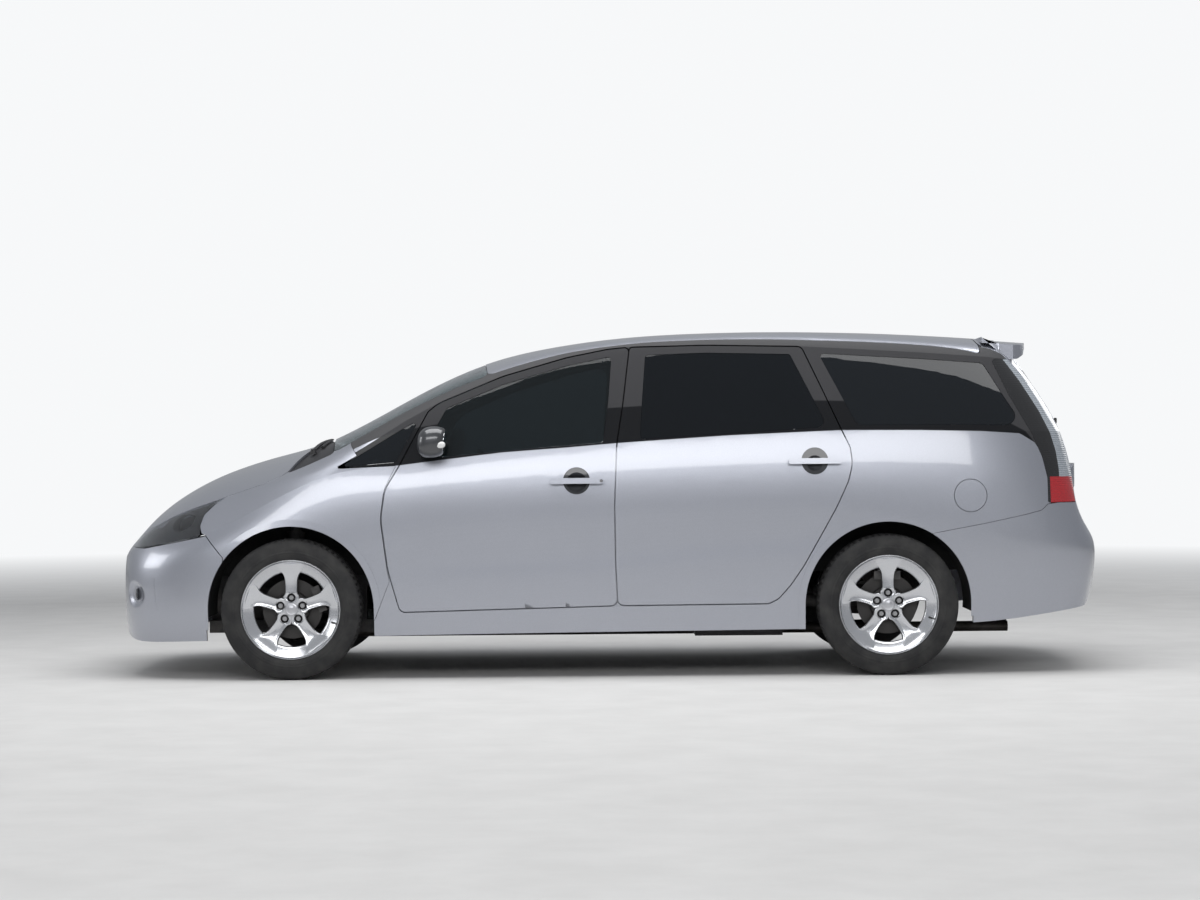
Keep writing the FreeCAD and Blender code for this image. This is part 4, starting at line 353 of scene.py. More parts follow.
black_plastic = grain(finish("black_moulded_plastic", (0.016, 0.016, 0.018), 0.48), 420, 0.25, 0.0006)
dress(black_plastic, "cowl", "grille")
liner_felt = grain(finish("liner_plastic", (0.014, 0.014, 0.015), 0.85), 160, 0.5, 0.002)
dress(liner_felt, "arch_liners")
cast_metal = grain(finish("cast_iron", (0.07, 0.07, 0.072), 0.6, Metallic=0.6), 130, 0.5, 0.0015)
mottle(cast_metal, 12, (0.05, 0.05, 0.052), (0.13, 0.125, 0.12))
dress(cast_metal, "engine", "front_subframe", "rear_axle", "knuckle_left", "knuckle_right")
underseal = grain(finish("underseal", (0.035, 0.035, 0.037), 0.8), 90, 0.6, 0.003)
dress(underseal, "floor_pan", "fuel_tank")
# The exhaust's colour is painted far darker than bare aluminised steel, as painted shade, so that it reads as
# shadow under the car; its mottle is road dust.
pipe_in_painted_shade = grain(finish("aluminised_steel_in_painted_shade", (0.12, 0.11, 0.10), 0.55, Metallic=0.8), 60, 0.3, 0.001)
mottle(pipe_in_painted_shade, 6, (0.05, 0.045, 0.04), (0.13, 0.12, 0.11))
dress(pipe_in_painted_shade, "exhaust")


# Road wheels: cast aluminium rims under silver lacquer with the spoke faces and flange turned bright,
# five nuts in deep pockets and a plain cap; all that lies set back from the faces is rougher and painted
# nearly black, partly brake dust and partly painted shade.

ALLOY_COLOUR, DUST_AND_SHADE_COLOUR = (0.62, 0.63, 0.655), (0.012, 0.012, 0.0125)
alloy = finish("silver_lacquered_alloy", ALLOY_COLOUR, 0.22, Metallic=0.85, Coat_Weight=0.5,
               Coat_Roughness=0.08)
grain(alloy, 500, 0.10, 0.0004)
# Everything nearer the car's middle than the spoke faces is darkened, partly brake dust and partly painted
# shade on the barrel.
_, y, _ = place_on(alloy)
lit = ranged(alloy, maths(alloy, "ABSOLUTE", y), 0.829, 0.836)
wire(alloy, (mixed(alloy, lit, DUST_AND_SHADE_COLOUR, ALLOY_COLOUR), shader_of(alloy).inputs["Base Color"]),
     (ranged(alloy, lit, 0, 1, 0.7, 0.22), shader_of(alloy).inputs["Roughness"]))


# Lamps: moulded clear covers over dark bowls in front, with pale discs painted on as a painted reflection
# of their chrome reflectors, and at the rear a red lower lens under a tall clear ribbed strip, glued round
# their edges.

clear_cover = finish("clear_lamp_cover", (0.50, 0.52, 0.55), 0.03, Transmission_Weight=1.0, IOR=1.30,
                     Coat_Weight=0.4)
dress(clear_cover, "headlamps")
# The bowls are black with pale round patches painted on them, a painted reflection of the chrome reflectors
# and lenses.
BOWL_BLACK, BOWL_PAINTED_SHINE = (0.010, 0.010, 0.011), (0.85, 0.87, 0.90)
BOWL_SPOTS = [((-2.126, 0.556, 0.687), 0.072), ((-2.033, 0.664, 0.720), 0.060),
              ((-1.950, 0.745, 0.790), 0.030)]
bowl_plastic = finish("black_bowl_with_painted_shine", BOWL_BLACK, 0.22)
x, y, z = place_on(bowl_plastic)
joined = node(bowl_plastic, "ShaderNodeCombineXYZ")
wire(bowl_plastic, (x, joined.inputs["X"]), (maths(bowl_plastic, "ABSOLUTE", y), joined.inputs["Y"]),
     (z, joined.inputs["Z"]))
bright = None
for middle, reach in BOWL_SPOTS:
    ring = ranged(bowl_plastic, distance_from(bowl_plastic, joined.outputs[0], middle), reach, reach - 0.003)
    bright = maths(bowl_plastic, "MAXIMUM", bright, ring) if bright else ring
wire(bowl_plastic, (mixed(bowl_plastic, bright, BOWL_BLACK, BOWL_PAINTED_SHINE),
                    shader_of(bowl_plastic).inputs["Base Color"]))
dress(bowl_plastic, "headlamp_bowls")
LENS_BLACK, LENS_RED = (0.006, 0.006, 0.007), (0.40, 0.008, 0.014)
STRIP_FRONT = [(1.50, 1.92), (1.901, 1.497), (1.968, 1.398), (2.055, 1.246), (2.101, 1.142), (2.126, 1.053),
               (2.138, 0.960), (2.142, 0.700), (2.40, 0.10)]
RED_FRONT = [(1.50, 1.90), (2.085, 1.90), (2.094, 0.10), (2.40, 0.05)]
RED_TOP = [(1.50, 0.932), (2.40, 0.932)]
rear_lens = finish("rear_lens", (0.45, 0.02, 0.025), 0.07, Coat_Weight=1.0, Coat_Roughness=0.02)
ribs = texture(rear_lens, "ShaderNodeTexWave", Scale=34.0, Detail=0, bands_direction="Z")
ribbed = mixed(rear_lens, ribs, (0.20, 0.23, 0.26), (0.42, 0.45, 0.49))
upper = mixed(rear_lens, above(rear_lens, STRIP_FRONT), LENS_BLACK, ribbed)
lower = mixed(rear_lens, above(rear_lens, RED_FRONT), LENS_BLACK, LENS_RED)
both = mixed(rear_lens, above(rear_lens, RED_TOP), lower, upper)
wire(rear_lens, (both, shader_of(rear_lens).inputs["Base Color"]))
bumpy(rear_lens, ribs, 0.45, 0.002)
dress(rear_lens, "tail_lamps")


# Inside: a moulded dashboard and console with a soft grained skin, screwed to the shell across the
# front of the cabin, and a steering wheel with the same skin on its column.

dash_skin = grain(finish("dashboard_skin", (0.035, 0.035, 0.038), 0.6), 700, 0.5, 0.0008)
dress(dash_skin, "dashboard", "steering_wheel")


# Tyres: black radial road tyres, 215 mm wide on 17-inch rims, moulded with four rain grooves,
# sipes across the shoulders and fine ribs round the sidewall. They are pressed onto the rims.

AXLES = {"front": -1.5175, "rear": 1.3125}
WHEEL_Y, WHEEL_Z = 0.7775, 0.334
TREAD_STEPS, SIPE_DEPTH = 132, 0.0052
# Half width and radius of the carcass, from the outer bead over the tread to the middle.
TYRE_PROFILE = [(0.0970, 0.2375), (0.1010, 0.2390), (0.1040, 0.2440), (0.1062, 0.2520), (0.1072, 0.2610),
                (0.1064, 0.2625), (0.1066, 0.2645), (0.1074, 0.2660), (0.1070, 0.2750), (0.1060, 0.2765),
                (0.1062, 0.2785), (0.1056, 0.2860), (0.1035, 0.2960), (0.1010, 0.3060), (0.0985, 0.3140),
                (0.0960, 0.3200), (0.0930, 0.3250), (0.0890, 0.3288), (0.0840, 0.3308), (0.0780, 0.3320),
                (0.0690, 0.3328), (0.0565, 0.3334), (0.0555, 0.3262), (0.0475, 0.3262), (0.0465, 0.3338),
                (0.0300, 0.3340), (0.0205, 0.3340), (0.0195, 0.3266), (0.0115, 0.3266), (0.0105, 0.3340),
                (0.0040, 0.3340)]
INNER_PROFILE = [(-0.088, 0.2375), (-0.088, 0.262), (-0.080, 0.300), (0.080, 0.300), (0.088, 0.262),
                 (0.088, 0.2375)]
# Half widths between which the tread is cut across into blocks.
BLOCK_ROWS = [(0.079, 0.094), (0.058, 0.079), (0.031, 0.046)]


def piece_of(shape, name, material, body, smooth):
    """A piece from its mesh as it is, shaded smooth under an angle, dressed and riding."""
    mesh = bpy.data.meshes.new(name)
    shape.to_mesh(mesh)
    shape.free()
    for face in mesh.polygons:
        face.use_smooth = True
    mesh.set_sharp_from_angle(angle=math.radians(smooth))
    mesh.materials.append(material)
    piece = bpy.data.objects.new(name, mesh)
    bpy.context.scene.collection.objects.link(piece)
    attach(piece, body)
    return piece


def made(shape, name, material, body, smooth=40):
    """A piece from its mesh with doubled points merged and the faces turned outwards."""
    bmesh.ops.remove_doubles(shape, verts=shape.verts, dist=0.00001)
    bmesh.ops.recalc_face_normals(shape, faces=shape.faces)
    return piece_of(shape, name, material, body, smooth)


def turned(shape, points, centre, steps, closed=False):
    """Turns a profile of (y, radius) about a wheel axis through the centre."""
    ring = [shape.verts.new((centre[0], centre[1] + y, centre[2] + r)) for y, r in points]
    edges = [shape.edges.new(pair) for pair in zip(ring, ring[1:] + ring[:1] if closed else ring[1:])]
    bmesh.ops.spin(shape, geom=ring + edges, cent=centre, axis=(0, 1, 0), angle=math.tau, steps=steps,
                   use_merge=True)


tyre_rubber = finish("tyre_rubber", (0.018, 0.018, 0.019), 0.68, Specular_IOR_Level=0.4)
dust = texture(tyre_rubber, "ShaderNodeTexNoise", Scale=14.0, Detail=5)
dusty = shaded(tyre_rubber, dust, 0.4, (0.014, 0.014, 0.015), 0.75, (0.036, 0.035, 0.034))
wire(tyre_rubber, (dusty, shader_of(tyre_rubber).inputs["Base Color"]))
bumpy(tyre_rubber, texture(tyre_rubber, "ShaderNodeTexNoise", Scale=500.0, Detail=2), 0.25, 0.0006)

for end, x in AXLES.items():
    for side, sign in (("left", -1), ("right", 1)):
        centre = Vector((x, sign * WHEEL_Y, WHEEL_Z))
        shape = bmesh.new()
        outer = TYRE_PROFILE + [(-w, r) for w, r in reversed(TYRE_PROFILE)]
        turned(shape, outer + INNER_PROFILE, centre, TREAD_STEPS, closed=True)
        shape.faces.ensure_lookup_table()
        blocks = []
        for face in shape.faces:
            middle = face.calc_center_median() - centre
            radius, wide = math.hypot(middle.x, middle.z), abs(middle.y)
            if radius > 0.327 and any(low < wide < high for low, high in BLOCK_ROWS):
                blocks.append(face)
        bmesh.ops.inset_individual(shape, faces=blocks, thickness=0.0018, depth=0.0)
        sunk = []
        for face in blocks:
            middle = face.calc_center_median() - centre
            step = round(math.atan2(middle.x, middle.z) / math.tau * TREAD_STEPS - 0.5)
            if step % 2 == (1 if middle.y > 0 else 0):
                sunk.append(face)
        moved = {vert for face in sunk for vert in face.verts}
        for vert in moved:
            middle = vert.co - centre
            radius = math.hypot(middle.x, middle.z)
            inwards = (radius - SIPE_DEPTH) / radius
            vert.co = centre + Vector((middle.x * inwards, middle.y, middle.z * inwards))
        tyre = made(shape, f"road_tyre_{end}_{side}", tyre_rubber, f"wheel_{end}_{side}", smooth=32)
        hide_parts(f"tyre_{end}_{side}")


# Seats: foam pads under grey woven cloth with sewn side bolsters, on low moulded bases bolted to the
# floor; two seats in front, a bench of three behind and a narrower one for two at the back.

seat_cloth = finish("seat_cloth", (0.10, 0.098, 0.105), 0.92, Sheen_Weight=0.5, Sheen_Roughness=0.4)
threads = [texture(seat_cloth, "ShaderNodeTexWave", Scale=170.0, Distortion=0.4, Detail=1,
                   bands_direction=way) for way in ("X", "Y")]
mottle(seat_cloth, 9, (0.075, 0.074, 0.080), (0.125, 0.122, 0.130))
bumpy(seat_cloth, maths(seat_cloth, "MAXIMUM", *threads), 0.35, 0.0007)
base_plastic = grain(finish("seat_base_plastic", (0.03, 0.03, 0.032), 0.55), 500, 0.4, 0.0006)

# A pad's cuts across each face, how far it goes towards a ball, how much that ball swells it, and
# how full it is; then the depth of its channels, the height of its edge roll and its creases.
PAD_CUTS, PAD_SOFT, PAD_SWELL, PAD_FILL = 15, 0.22, 1.18, 0.7
CHANNEL_DEPTH, EDGE_ROLL, CREASE = 0.007, 0.010, 0.0015


def rounded(x, y, z):
    """Where x lies when the cube through it becomes a ball."""
    return x * math.sqrt(max(0, 1 - 0.5 * (y * y + z * z) + y * y * z * z / 3))


def pad(name, size, place, lean, crown=0.014, bolster=0.62, seams=()):
    """A foam pad of a size in metres: crowned, with raised sides and sewn channels, and leaned back."""
    shape = bmesh.new()
    bmesh.ops.create_cube(shape, size=2)
    bmesh.ops.subdivide_edges(shape, edges=shape.edges, cuts=PAD_CUTS, use_grid_fill=True)
    for vert in shape.verts:
        x, y, z = vert.co
        ball = (rounded(x, y, z), rounded(y, x, z), rounded(z, x, y))
        x, y, z = [a * (1 - PAD_SOFT) + b * PAD_SOFT * PAD_SWELL for a, b in zip((x, y, z), ball)]
        spot = Vector((x * size[0] / 2, y * size[1] / 2, z * size[2] / 2))
        middle = max(0, 1 - x * x) * max(0, 1 - y * y)
        face_up = max(0, z)
        groove = sum(math.exp(-((y - at) / 0.035) ** 2) for at in (-bolster, bolster))
        groove += sum(math.exp(-((x - at) / 0.04) ** 2) for at in seams) if abs(y) < bolster else 0
        spot.z += face_up * (crown * middle - CHANNEL_DEPTH * min(groove, 1.2) * (1 - x ** 6))
        spot.z += face_up * EDGE_ROLL * math.exp(-((abs(y) - 0.83) / 0.12) ** 2)
        spot.z += face_up * CREASE * noise.noise(Vector((x * 3, y * 4, len(name) * 1.7)))
        vert.co = spot
    bmesh.ops.rotate(shape, verts=shape.verts, cent=(0, 0, 0),
                     matrix=Matrix.Rotation(math.radians(lean), 3, "Y"))
    bmesh.ops.translate(shape, verts=shape.verts, vec=place)
    cushion = made(shape, name, seat_cloth, "car_body", smooth=70)
    soft_skin = cushion.modifiers.new("soft_skin", "SUBSURF")
    soft_skin.levels = soft_skin.render_levels = 1
    return cushion


def bezel(shape, low, high, rim):
    """A box with rounded edges between two corners."""
    box = bmesh.ops.create_cube(shape, size=1)
    size = [b - a for a, b in zip(low, high)]
    bmesh.ops.scale(shape, verts=box["verts"], vec=size)
    bmesh.ops.translate(shape, verts=box["verts"], vec=[(a + b) / 2 for a, b in zip(low, high)])
    edges = list({edge for vert in box["verts"] for edge in vert.link_edges})
    bmesh.ops.bevel(shape, geom=edges, offset=rim, offset_type="OFFSET", segments=3, profile=0.5,
                    affect="EDGES", material=-1)


def seat(name, row, x, y0, y1, floor_z, heads):
    """One seat or bench: x is the hip line and heads are the places of its head restraints."""
    middle, width = (y0 + y1) / 2, y1 - y0
    cushion = pad(f"{name}_cushion", (0.49, width - 0.012, 0.135), (x - 0.052, middle, floor_z + 0.158),
                  4.0, seams=(-0.35, 0.2))
    pad(f"{name}_back", (0.60, width - 0.016, 0.095), (x + 0.292, middle, floor_z + 0.425), -73.5,
        seams=(-0.3, 0.25), crown=0.012)
    for index, y in enumerate(heads):
        pad(f"{name}_head_restraint_{index}", (0.165, 0.225, 0.075), (x + 0.401, y, floor_z + 0.795), -86,
            crown=0.008, bolster=1.5)
    shape = bmesh.new()
    bezel(shape, (x - 0.285, y0 + 0.03, floor_z), (x + 0.19, y1 - 0.03, floor_z + 0.082), 0.012)
    base = made(shape, f"{name}_base", base_plastic, "car_body")
    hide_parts(row)


seat("driver_seat", "front_seats", -0.261, -0.619, -0.130, 0.2549, [-0.375])
seat("passenger_seat", "front_seats", -0.261, 0.130, 0.619, 0.2549, [0.375])
seat("middle_bench", "rear_seats", 0.5116, -0.637, 0.637, 0.2549, [-0.400, 0.0, 0.400])
seat("back_bench", "rear_seats", 1.454, -0.449, 0.449, 0.4998, [-0.224, 0.224])


# Road wheels: one-piece alloy castings with a deep rim, five dished spokes that flare into it and
# sunk nut seats, bolted to the hubs by five nuts over a steel brake disc, with a plain pressed cap.

# Distance outwards from the wheel's middle plane, and radius, in metres.
RING_PROFILE = [(0.0957, 0.2365), (0.1000, 0.2368), (0.1020, 0.2345), (0.1018, 0.2320), (0.0985, 0.2300),
                (0.0945, 0.2280), (0.0900, 0.2225), (0.0820, 0.2130), (0.0730, 0.2010), (0.0655, 0.1890),
                (0.0605, 0.1810), (0.0560, 0.1780), (0.0500, 0.1770), (0.0440, 0.1800), (0.0400, 0.1880),
                (0.0340, 0.2020), (0.0240, 0.2075), (-0.0550, 0.2075), (-0.0800, 0.2150), (-0.0960, 0.2260),
                (-0.1000, 0.2360), (-0.0950, 0.2365), (-0.0910, 0.2240), (-0.0500, 0.2150), (0.0500, 0.2150),
                (0.0900, 0.2240)]
# Radius, half width, face and thickness of a spoke, in millimetres.
SPOKE_LINE = [(24, 17.4, 66, 40), (34, 24.7, 66, 40), (44, 32.0, 66, 40), (55, 37.0, 65.5, 40),
              (62, 36.0, 65, 40), (67, 33.5, 64.8, 40), (72, 30.5, 64.4, 39), (78, 28.0, 64, 38),
              (86, 26.8, 63.5, 37), (100, 26.8, 63, 35), (116, 27.4, 62.8, 32), (134, 28.6, 63.5, 29),
              (150, 31.0, 65.5, 27), (160, 34.0, 67.5, 26),
              (168, 38.0, 69.5, 25), (174, 43.0, 71.2, 25), (181, 50.0, 73.5, 25), (190, 56.0, 77.5, 25),
              (200, 60.0, 82.5, 25), (210, 62.0, 87.0, 25), (216, 63.0, 88.5, 25)]
SPOKES, NUT_R, POCKET_R, POCKET_DEPTH = 5, 55.0, 20.0, 15.5
POCKET_ANGLES = (-90.5, -89.9, -75, -60, -45, -30, -15, 0, 15, 30, 45, 60, 75, 89.9, 90.5)
SPOKE_STATIONS = [24, 28, 32, *(NUT_R + POCKET_R * math.sin(math.radians(angle)) for angle in POCKET_ANGLES),
                  79, 84, 92, 102, 114, 126, 138, 148, 156, 163, 169, 174, 179, 185, 192, 200, 208, 216]
DISC_PROFILE = [(-0.011, 0.0210), (-0.011, 0.0355), (-0.009, 0.0360), (-0.009, 0.0980), (-0.009, 0.1420),
                (0.009, 0.1420), (0.009, 0.0850), (0.0360, 0.0800), (0.0400, 0.0750), (0.0400, 0.0210)]
CAP_PROFILE = [(0.060, 0.0300), (0.0690, 0.0300), (0.0715, 0.0288), (0.0730, 0.0240), (0.0722, 0.0215),
               (0.0722, 0.0195), (0.0745, 0.0120), (0.0752, 0.00001)]
VALVE_TURN, VALVE_R, VALVE_OUT = 0.30 * math.tau, 0.207, 0.085


def along(line, at):
    """The other values of a table of rows at a place between two of its first values."""
    for before, after in zip(line, line[1:]):
        if at <= after[0]:
            share = (at - before[0]) / (after[0] - before[0])
            return [a + (b - a) * share for a, b in zip(before[1:], after[1:])]
    return list(line[-1][1:])


def spoke_section(r):
    """One section across a spoke as (across, outwards) in millimetres, for the half on one side."""
    w, face, thick = along(SPOKE_LINE, r)
    edge = min(1, max(0, (r - 44) / 18)) * min(1, max(0.15, (206 - r) / 40))
    sunk = 3.4 * min(1, max(0, (r - 30) / 50)) * min(1, max(0.2, (212 - r) / 45))
    reach = POCKET_R ** 2 - (r - NUT_R) ** 2
    if reach > -0.001:
        c = math.sqrt(max(reach, 0))
        floor = face - POCKET_DEPTH
        front = [(0, floor), (0.5 * c, floor), (0.94 * c, floor), (c, floor + 0.8),
                 (c + 0.5, face - sunk - 1.0), (c + 1.6, face - sunk)]
    else:
        front = [(0, face - sunk), (0.14 * w, face - sunk), (0.28 * w, face - 0.97 * sunk),
                 (0.42 * w, face - 0.88 * sunk), (0.54 * w, face - 0.70 * sunk),
                 (0.64 * w, face - 0.45 * sunk)]
    return front + [(0.78 * w, face - 0.1 * sunk), (0.87 * w, face + 1.0 * edge),
                    (0.94 * w, face + 0.9 * edge), (w - 0.1, face - 0.8 * edge),
                    (w + 1.2 * edge, face - 0.25 * thick), (w + 2.2 * edge, face - 0.8 * thick),
                    (w - 1, face - thick), (0.5 * w, face - thick), (0, face - thick)]


def lofted(shape, sections):
    """A closed bar through sections of points, each with as many points as the last."""
    rings = [[shape.verts.new(point) for point in section] for section in sections]
    for a, b in zip(rings, rings[1:]):
        for k in range(len(a)):
            n = (k + 1) % len(a)
            shape.faces.new((a[k], a[n], b[n], b[k]))
    shape.faces.new(rings[0])
    shape.faces.new(list(reversed(rings[-1])))


def spoke(shape, centre, sign, turn):
    """One spoke from the hub to the rim, turned about the wheel's axis."""
    spin = Matrix.Rotation(turn, 3, "Y")
    sections = []
    for r in SPOKE_STATIONS:
        half = spoke_section(r)
        loop = half + [(-across, out) for across, out in reversed(half[1:-1])]
        sections.append([centre + spin @ (Vector((across, sign * out, r)) / 1000) for across, out in loop])
    lofted(shape, sections)


def stub(shape, foot, tip, depth, sides, place, *turns):
    """A stub from its foot's radius to its tip's, turned from upright by angles about axes, at a place."""
    cone = bmesh.ops.create_cone(shape, cap_ends=True, segments=sides, radius1=foot, radius2=tip, depth=depth)
    for angle, axis in turns:
        bmesh.ops.rotate(shape, verts=cone["verts"], cent=(0, 0, 0), matrix=Matrix.Rotation(angle, 3, axis))
    bmesh.ops.translate(shape, verts=cone["verts"], vec=place)


plated = grain(finish("plated_nut_steel", (0.42, 0.42, 0.43), 0.24, Metallic=1.0), 300, 0.1, 0.0003)
cap_metal = grain(finish("cap_silver", (0.50, 0.505, 0.53), 0.28, Metallic=0.8, Coat_Weight=0.6),
                  400, 0.08, 0.0003)
valve_rubber = grain(finish("valve_rubber", (0.02, 0.02, 0.02), 0.6), 400, 0.3, 0.0004)
disc_steel = grain(finish("brake_disc_steel", (0.055, 0.053, 0.052), 0.45, Metallic=0.8), 90, 0.2, 0.0004)
for end, x in AXLES.items():
    for side, sign in (("left", -1), ("right", 1)):
        wheel, rim, centre = f"wheel_{end}_{side}", f"rim_{end}_{side}", Vector((x, sign * WHEEL_Y, WHEEL_Z))
        shape = bmesh.new()
        turned(shape, [(sign * y, r) for y, r in RING_PROFILE], centre, 120, closed=True)
        for index in range(SPOKES):
            spoke(shape, centre, sign, math.tau * index / SPOKES)
        casting = made(shape, f"alloy_wheel_{end}_{side}", alloy, wheel, smooth=38)
        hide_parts(rim)
        shape = bmesh.new()
        turned(shape, [(sign * y, r) for y, r in DISC_PROFILE], centre, 72, closed=True)
        disc = made(shape, f"brake_disc_{end}_{side}", disc_steel, wheel, smooth=30)
        shape = bmesh.new()
        turned(shape, [(sign * y, r) for y, r in CAP_PROFILE], centre, 48)
        cap = made(shape, f"hub_cap_{end}_{side}", cap_metal, wheel, smooth=30)
        shape = bmesh.new()
        outwards = (-sign * math.pi / 2, "X")
        for index in range(SPOKES):
            turn = math.tau * index / SPOKES
            spot = centre + Vector((math.sin(turn) * NUT_R, sign * 50.0, math.cos(turn) * NUT_R)) / 1000
            stub(shape, 0.0105, 0.0098, 0.016, 6, spot + Vector((0, sign * 0.008, 0)), outwards)
            stub(shape, 0.0140, 0.0112, 0.005, 24, spot + Vector((0, sign * 0.0015, 0)), outwards)
        nuts = made(shape, f"wheel_nuts_{end}_{side}", plated, wheel, smooth=25)
        shape = bmesh.new()
        spot = Vector((VALVE_R * math.sin(VALVE_TURN), sign * VALVE_OUT, VALVE_R * math.cos(VALVE_TURN)))
        leaned = (-sign * math.radians(78), "X")
        stub(shape, 0.0055, 0.0035, 0.030, 16, centre + spot, leaned, (VALVE_TURN, "Y"))
        stem = made(shape, f"tyre_valve_{end}_{side}", valve_rubber, wheel)


# Tailgate: the pressed leaf with its spoiler, whose ends follow the fall of the roof, and a narrow
# high stop lamp under red plastic let into the spoiler's rear edge.

SPOILER_HALF, SPOILER_FALL = 0.5562, 0.031
SPOILER_TOP = [(1.7992, 1.6111), (1.8870, 1.6062), (2.0613, 1.5929), (2.0660, 1.5925)]
SPOILER_UNDER = [(1.8900, 1.5309), (1.9776, 1.5309), (2.0639, 1.5739), (2.0660, 1.5750)]
CUT_STEP, NEAR = 0.0484, 0.0018
shape = bmesh.new()
shape.from_mesh(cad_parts["tailgate"].data)
bmesh.ops.remove_doubles(shape, verts=shape.verts, dist=0.00001)
for index in range(-11, 12):
    everything = shape.verts[:] + shape.edges[:] + shape.faces[:]
    bmesh.ops.bisect_plane(shape, geom=everything, plane_co=(0, index * CUT_STEP, 0), plane_no=(0, 1, 0),
                           dist=0.00001)
for vert in shape.verts:
    x, y, z = vert.co
    if x < 1.797 or abs(y) > SPOILER_HALF + 0.0012:
        continue
    top, under = along(SPOILER_TOP, x)[0], along(SPOILER_UNDER, x)[0]
    on_top = abs(z - top) < NEAR
    on_under = x > 1.885 and (abs(z - under) < NEAR or (1.945 < x < 2.01 and abs(z - under) < 0.006))
    if on_top or on_under or x > 2.030:
        vert.co.z -= SPOILER_FALL * (y / SPOILER_HALF) ** 2
bmesh.ops.triangulate(shape, faces=shape.faces)
tailgate_leaf = piece_of(shape, "tailgate_leaf", body_paint, "tailgate", 24)
even = tailgate_leaf.modifiers.new("even_shading", "WEIGHTED_NORMAL")
even.keep_sharp, even.weight = True, 100
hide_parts("tailgate")


def rounded_box(name, low, high, rim, material, body):
    """A box piece with rounded edges between two corners, dressed and riding."""
    shape = bmesh.new()
    bezel(shape, low, high, rim)
    piece = made(shape, name, material, body, smooth=50)


red_lens = grain(finish("red_lens", (0.42, 0.012, 0.02), 0.1, Coat_Weight=1.0), 200, 0.1, 0.0003)
rounded_box("high_stop_lamp", (2.052, -0.140, 1.5775), (2.0668, 0.140, 1.5885), 0.003, red_lens, "tailgate")


# Door mirrors: a round housing in dark metallic plastic on a short foot, with a clear side
# turn lens at its outer rear edge and silvered glass facing back, snapped onto the folding base.

MIRROR = (-0.834, 0.950, 1.1225)
GLASS_X, GLASS_HALF_Y, GLASS_HALF_Z = -0.7775, 0.062, 0.050
mirror_shell = finish("mirror_housing", (0.060, 0.062, 0.068), 0.30, Metallic=0.5, Coat_Weight=1.0,
                      Coat_Roughness=0.05)
grain(mirror_shell, 300, 0.06, 0.0003)
silvered = grain(finish("silvered_glass", (0.70, 0.72, 0.74), 0.02, Metallic=1.0), 3, 0.02, 0.0005)
turn_lens = finish("turn_lens", (0.80, 0.80, 0.79), 0.12, Coat_Weight=1.0)
ridges = texture(turn_lens, "ShaderNodeTexWave", Scale=160.0, bands_direction="X")
bumpy(turn_lens, ridges, 0.4, 0.0008)


def superball(shape, centre, size, powers, steps=(40, 24)):
    """A ball squared off by its powers, from a sphere of rings about X."""
    ball = bmesh.ops.create_uvsphere(shape, u_segments=steps[0], v_segments=steps[1], radius=1)
    for vert in ball["verts"]:
        x, y, z = vert.co.z, vert.co.x, vert.co.y
        vert.co = [c + half * math.copysign(abs(v) ** power, v)
                   for c, half, v, power in zip(centre, size, (x, y, z), powers)]
    return ball["verts"]


def slanted(point):
    """Moves a point of a mirror back with its height and forward with its distance from the car."""
    point.x += 0.10 * (point.z - MIRROR[2]) - 0.06 * (abs(point.y) - MIRROR[1])


def thickened(shape, push):
    """Gives an open sheet a wall by pushing a copy of it out along a vector."""
    pushed = bmesh.ops.extrude_face_region(shape, geom=shape.faces[:])["geom"]
    bmesh.ops.translate(shape, verts=[v for v in pushed if isinstance(v, bmesh.types.BMVert)], vec=push)


for side, sign in (("left", -1), ("right", 1)):
    body, label = f"front_door_{side}", f"door_mirror_{side}"
    shape = bmesh.new()
    housing = superball(shape, (MIRROR[0], sign * MIRROR[1], MIRROR[2]), (0.073, 0.082, 0.074),
                        (0.8, 0.8, 0.8))
    for vert in housing:
        vert.co.x = min(vert.co.x, -0.779)
        slanted(vert.co)
    superball(shape, (-0.850, sign * 0.880, 1.072), (0.044, 0.038, 0.024), (0.5, 0.5, 0.5), (24, 12))
    shell = made(shape, f"mirror_housing_{side}", mirror_shell, body, smooth=45)
    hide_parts(label)
    shape = bmesh.new()
    glass = bmesh.ops.create_circle(shape, cap_ends=True, segments=40, radius=1)
    for vert in glass["verts"]:
        across, up = vert.co.x, vert.co.y
        vert.co = (GLASS_X, sign * MIRROR[1] + GLASS_HALF_Y * math.copysign(abs(across) ** 0.75, across),
                   MIRROR[2] + GLASS_HALF_Z * math.copysign(abs(up) ** 0.75, up))
        slanted(vert.co)
    thickened(shape, (-0.003, 0, 0))
    mirror_glass = made(shape, f"mirror_glass_{side}", silvered, body)
    shape = bmesh.new()
    superball(shape, (-0.803, sign * 1.0140, 1.108), (0.031, 0.0125, 0.0165), (0.75, 1.0, 0.75), (32, 16))
    lens = made(shape, f"mirror_turn_lens_{side}", turn_lens, body)


# Door furniture: a steel lock barrel by each front handle, and inside each door a moulded armrest, a
# bright latch lever and in front a loudspeaker under black cloth, clipped to the door card.

handle_chrome = grain(finish("handle_bright", (0.50, 0.51, 0.54), 0.20, Metallic=0.9, Coat_Weight=1.0),
                      300, 0.06, 0.0003)
card_plastic = grain(finish("door_card_plastic", (0.035, 0.035, 0.038), 0.6), 700, 0.4, 0.0006)
mesh_black = grain(finish("speaker_cloth", (0.012, 0.012, 0.013), 0.9), 900, 0.8, 0.0008)
# Where each kind of door has the front lower corner of its armrest, along the car and up.
ARMRESTS = {"front_door": (-0.62, 0.76), "rear_door": (0.46, 0.80)}
LOCK_X, LOCK_Z = -0.043, 0.932
SPEAKER_X, SPEAKER_Z = -0.85, 0.50


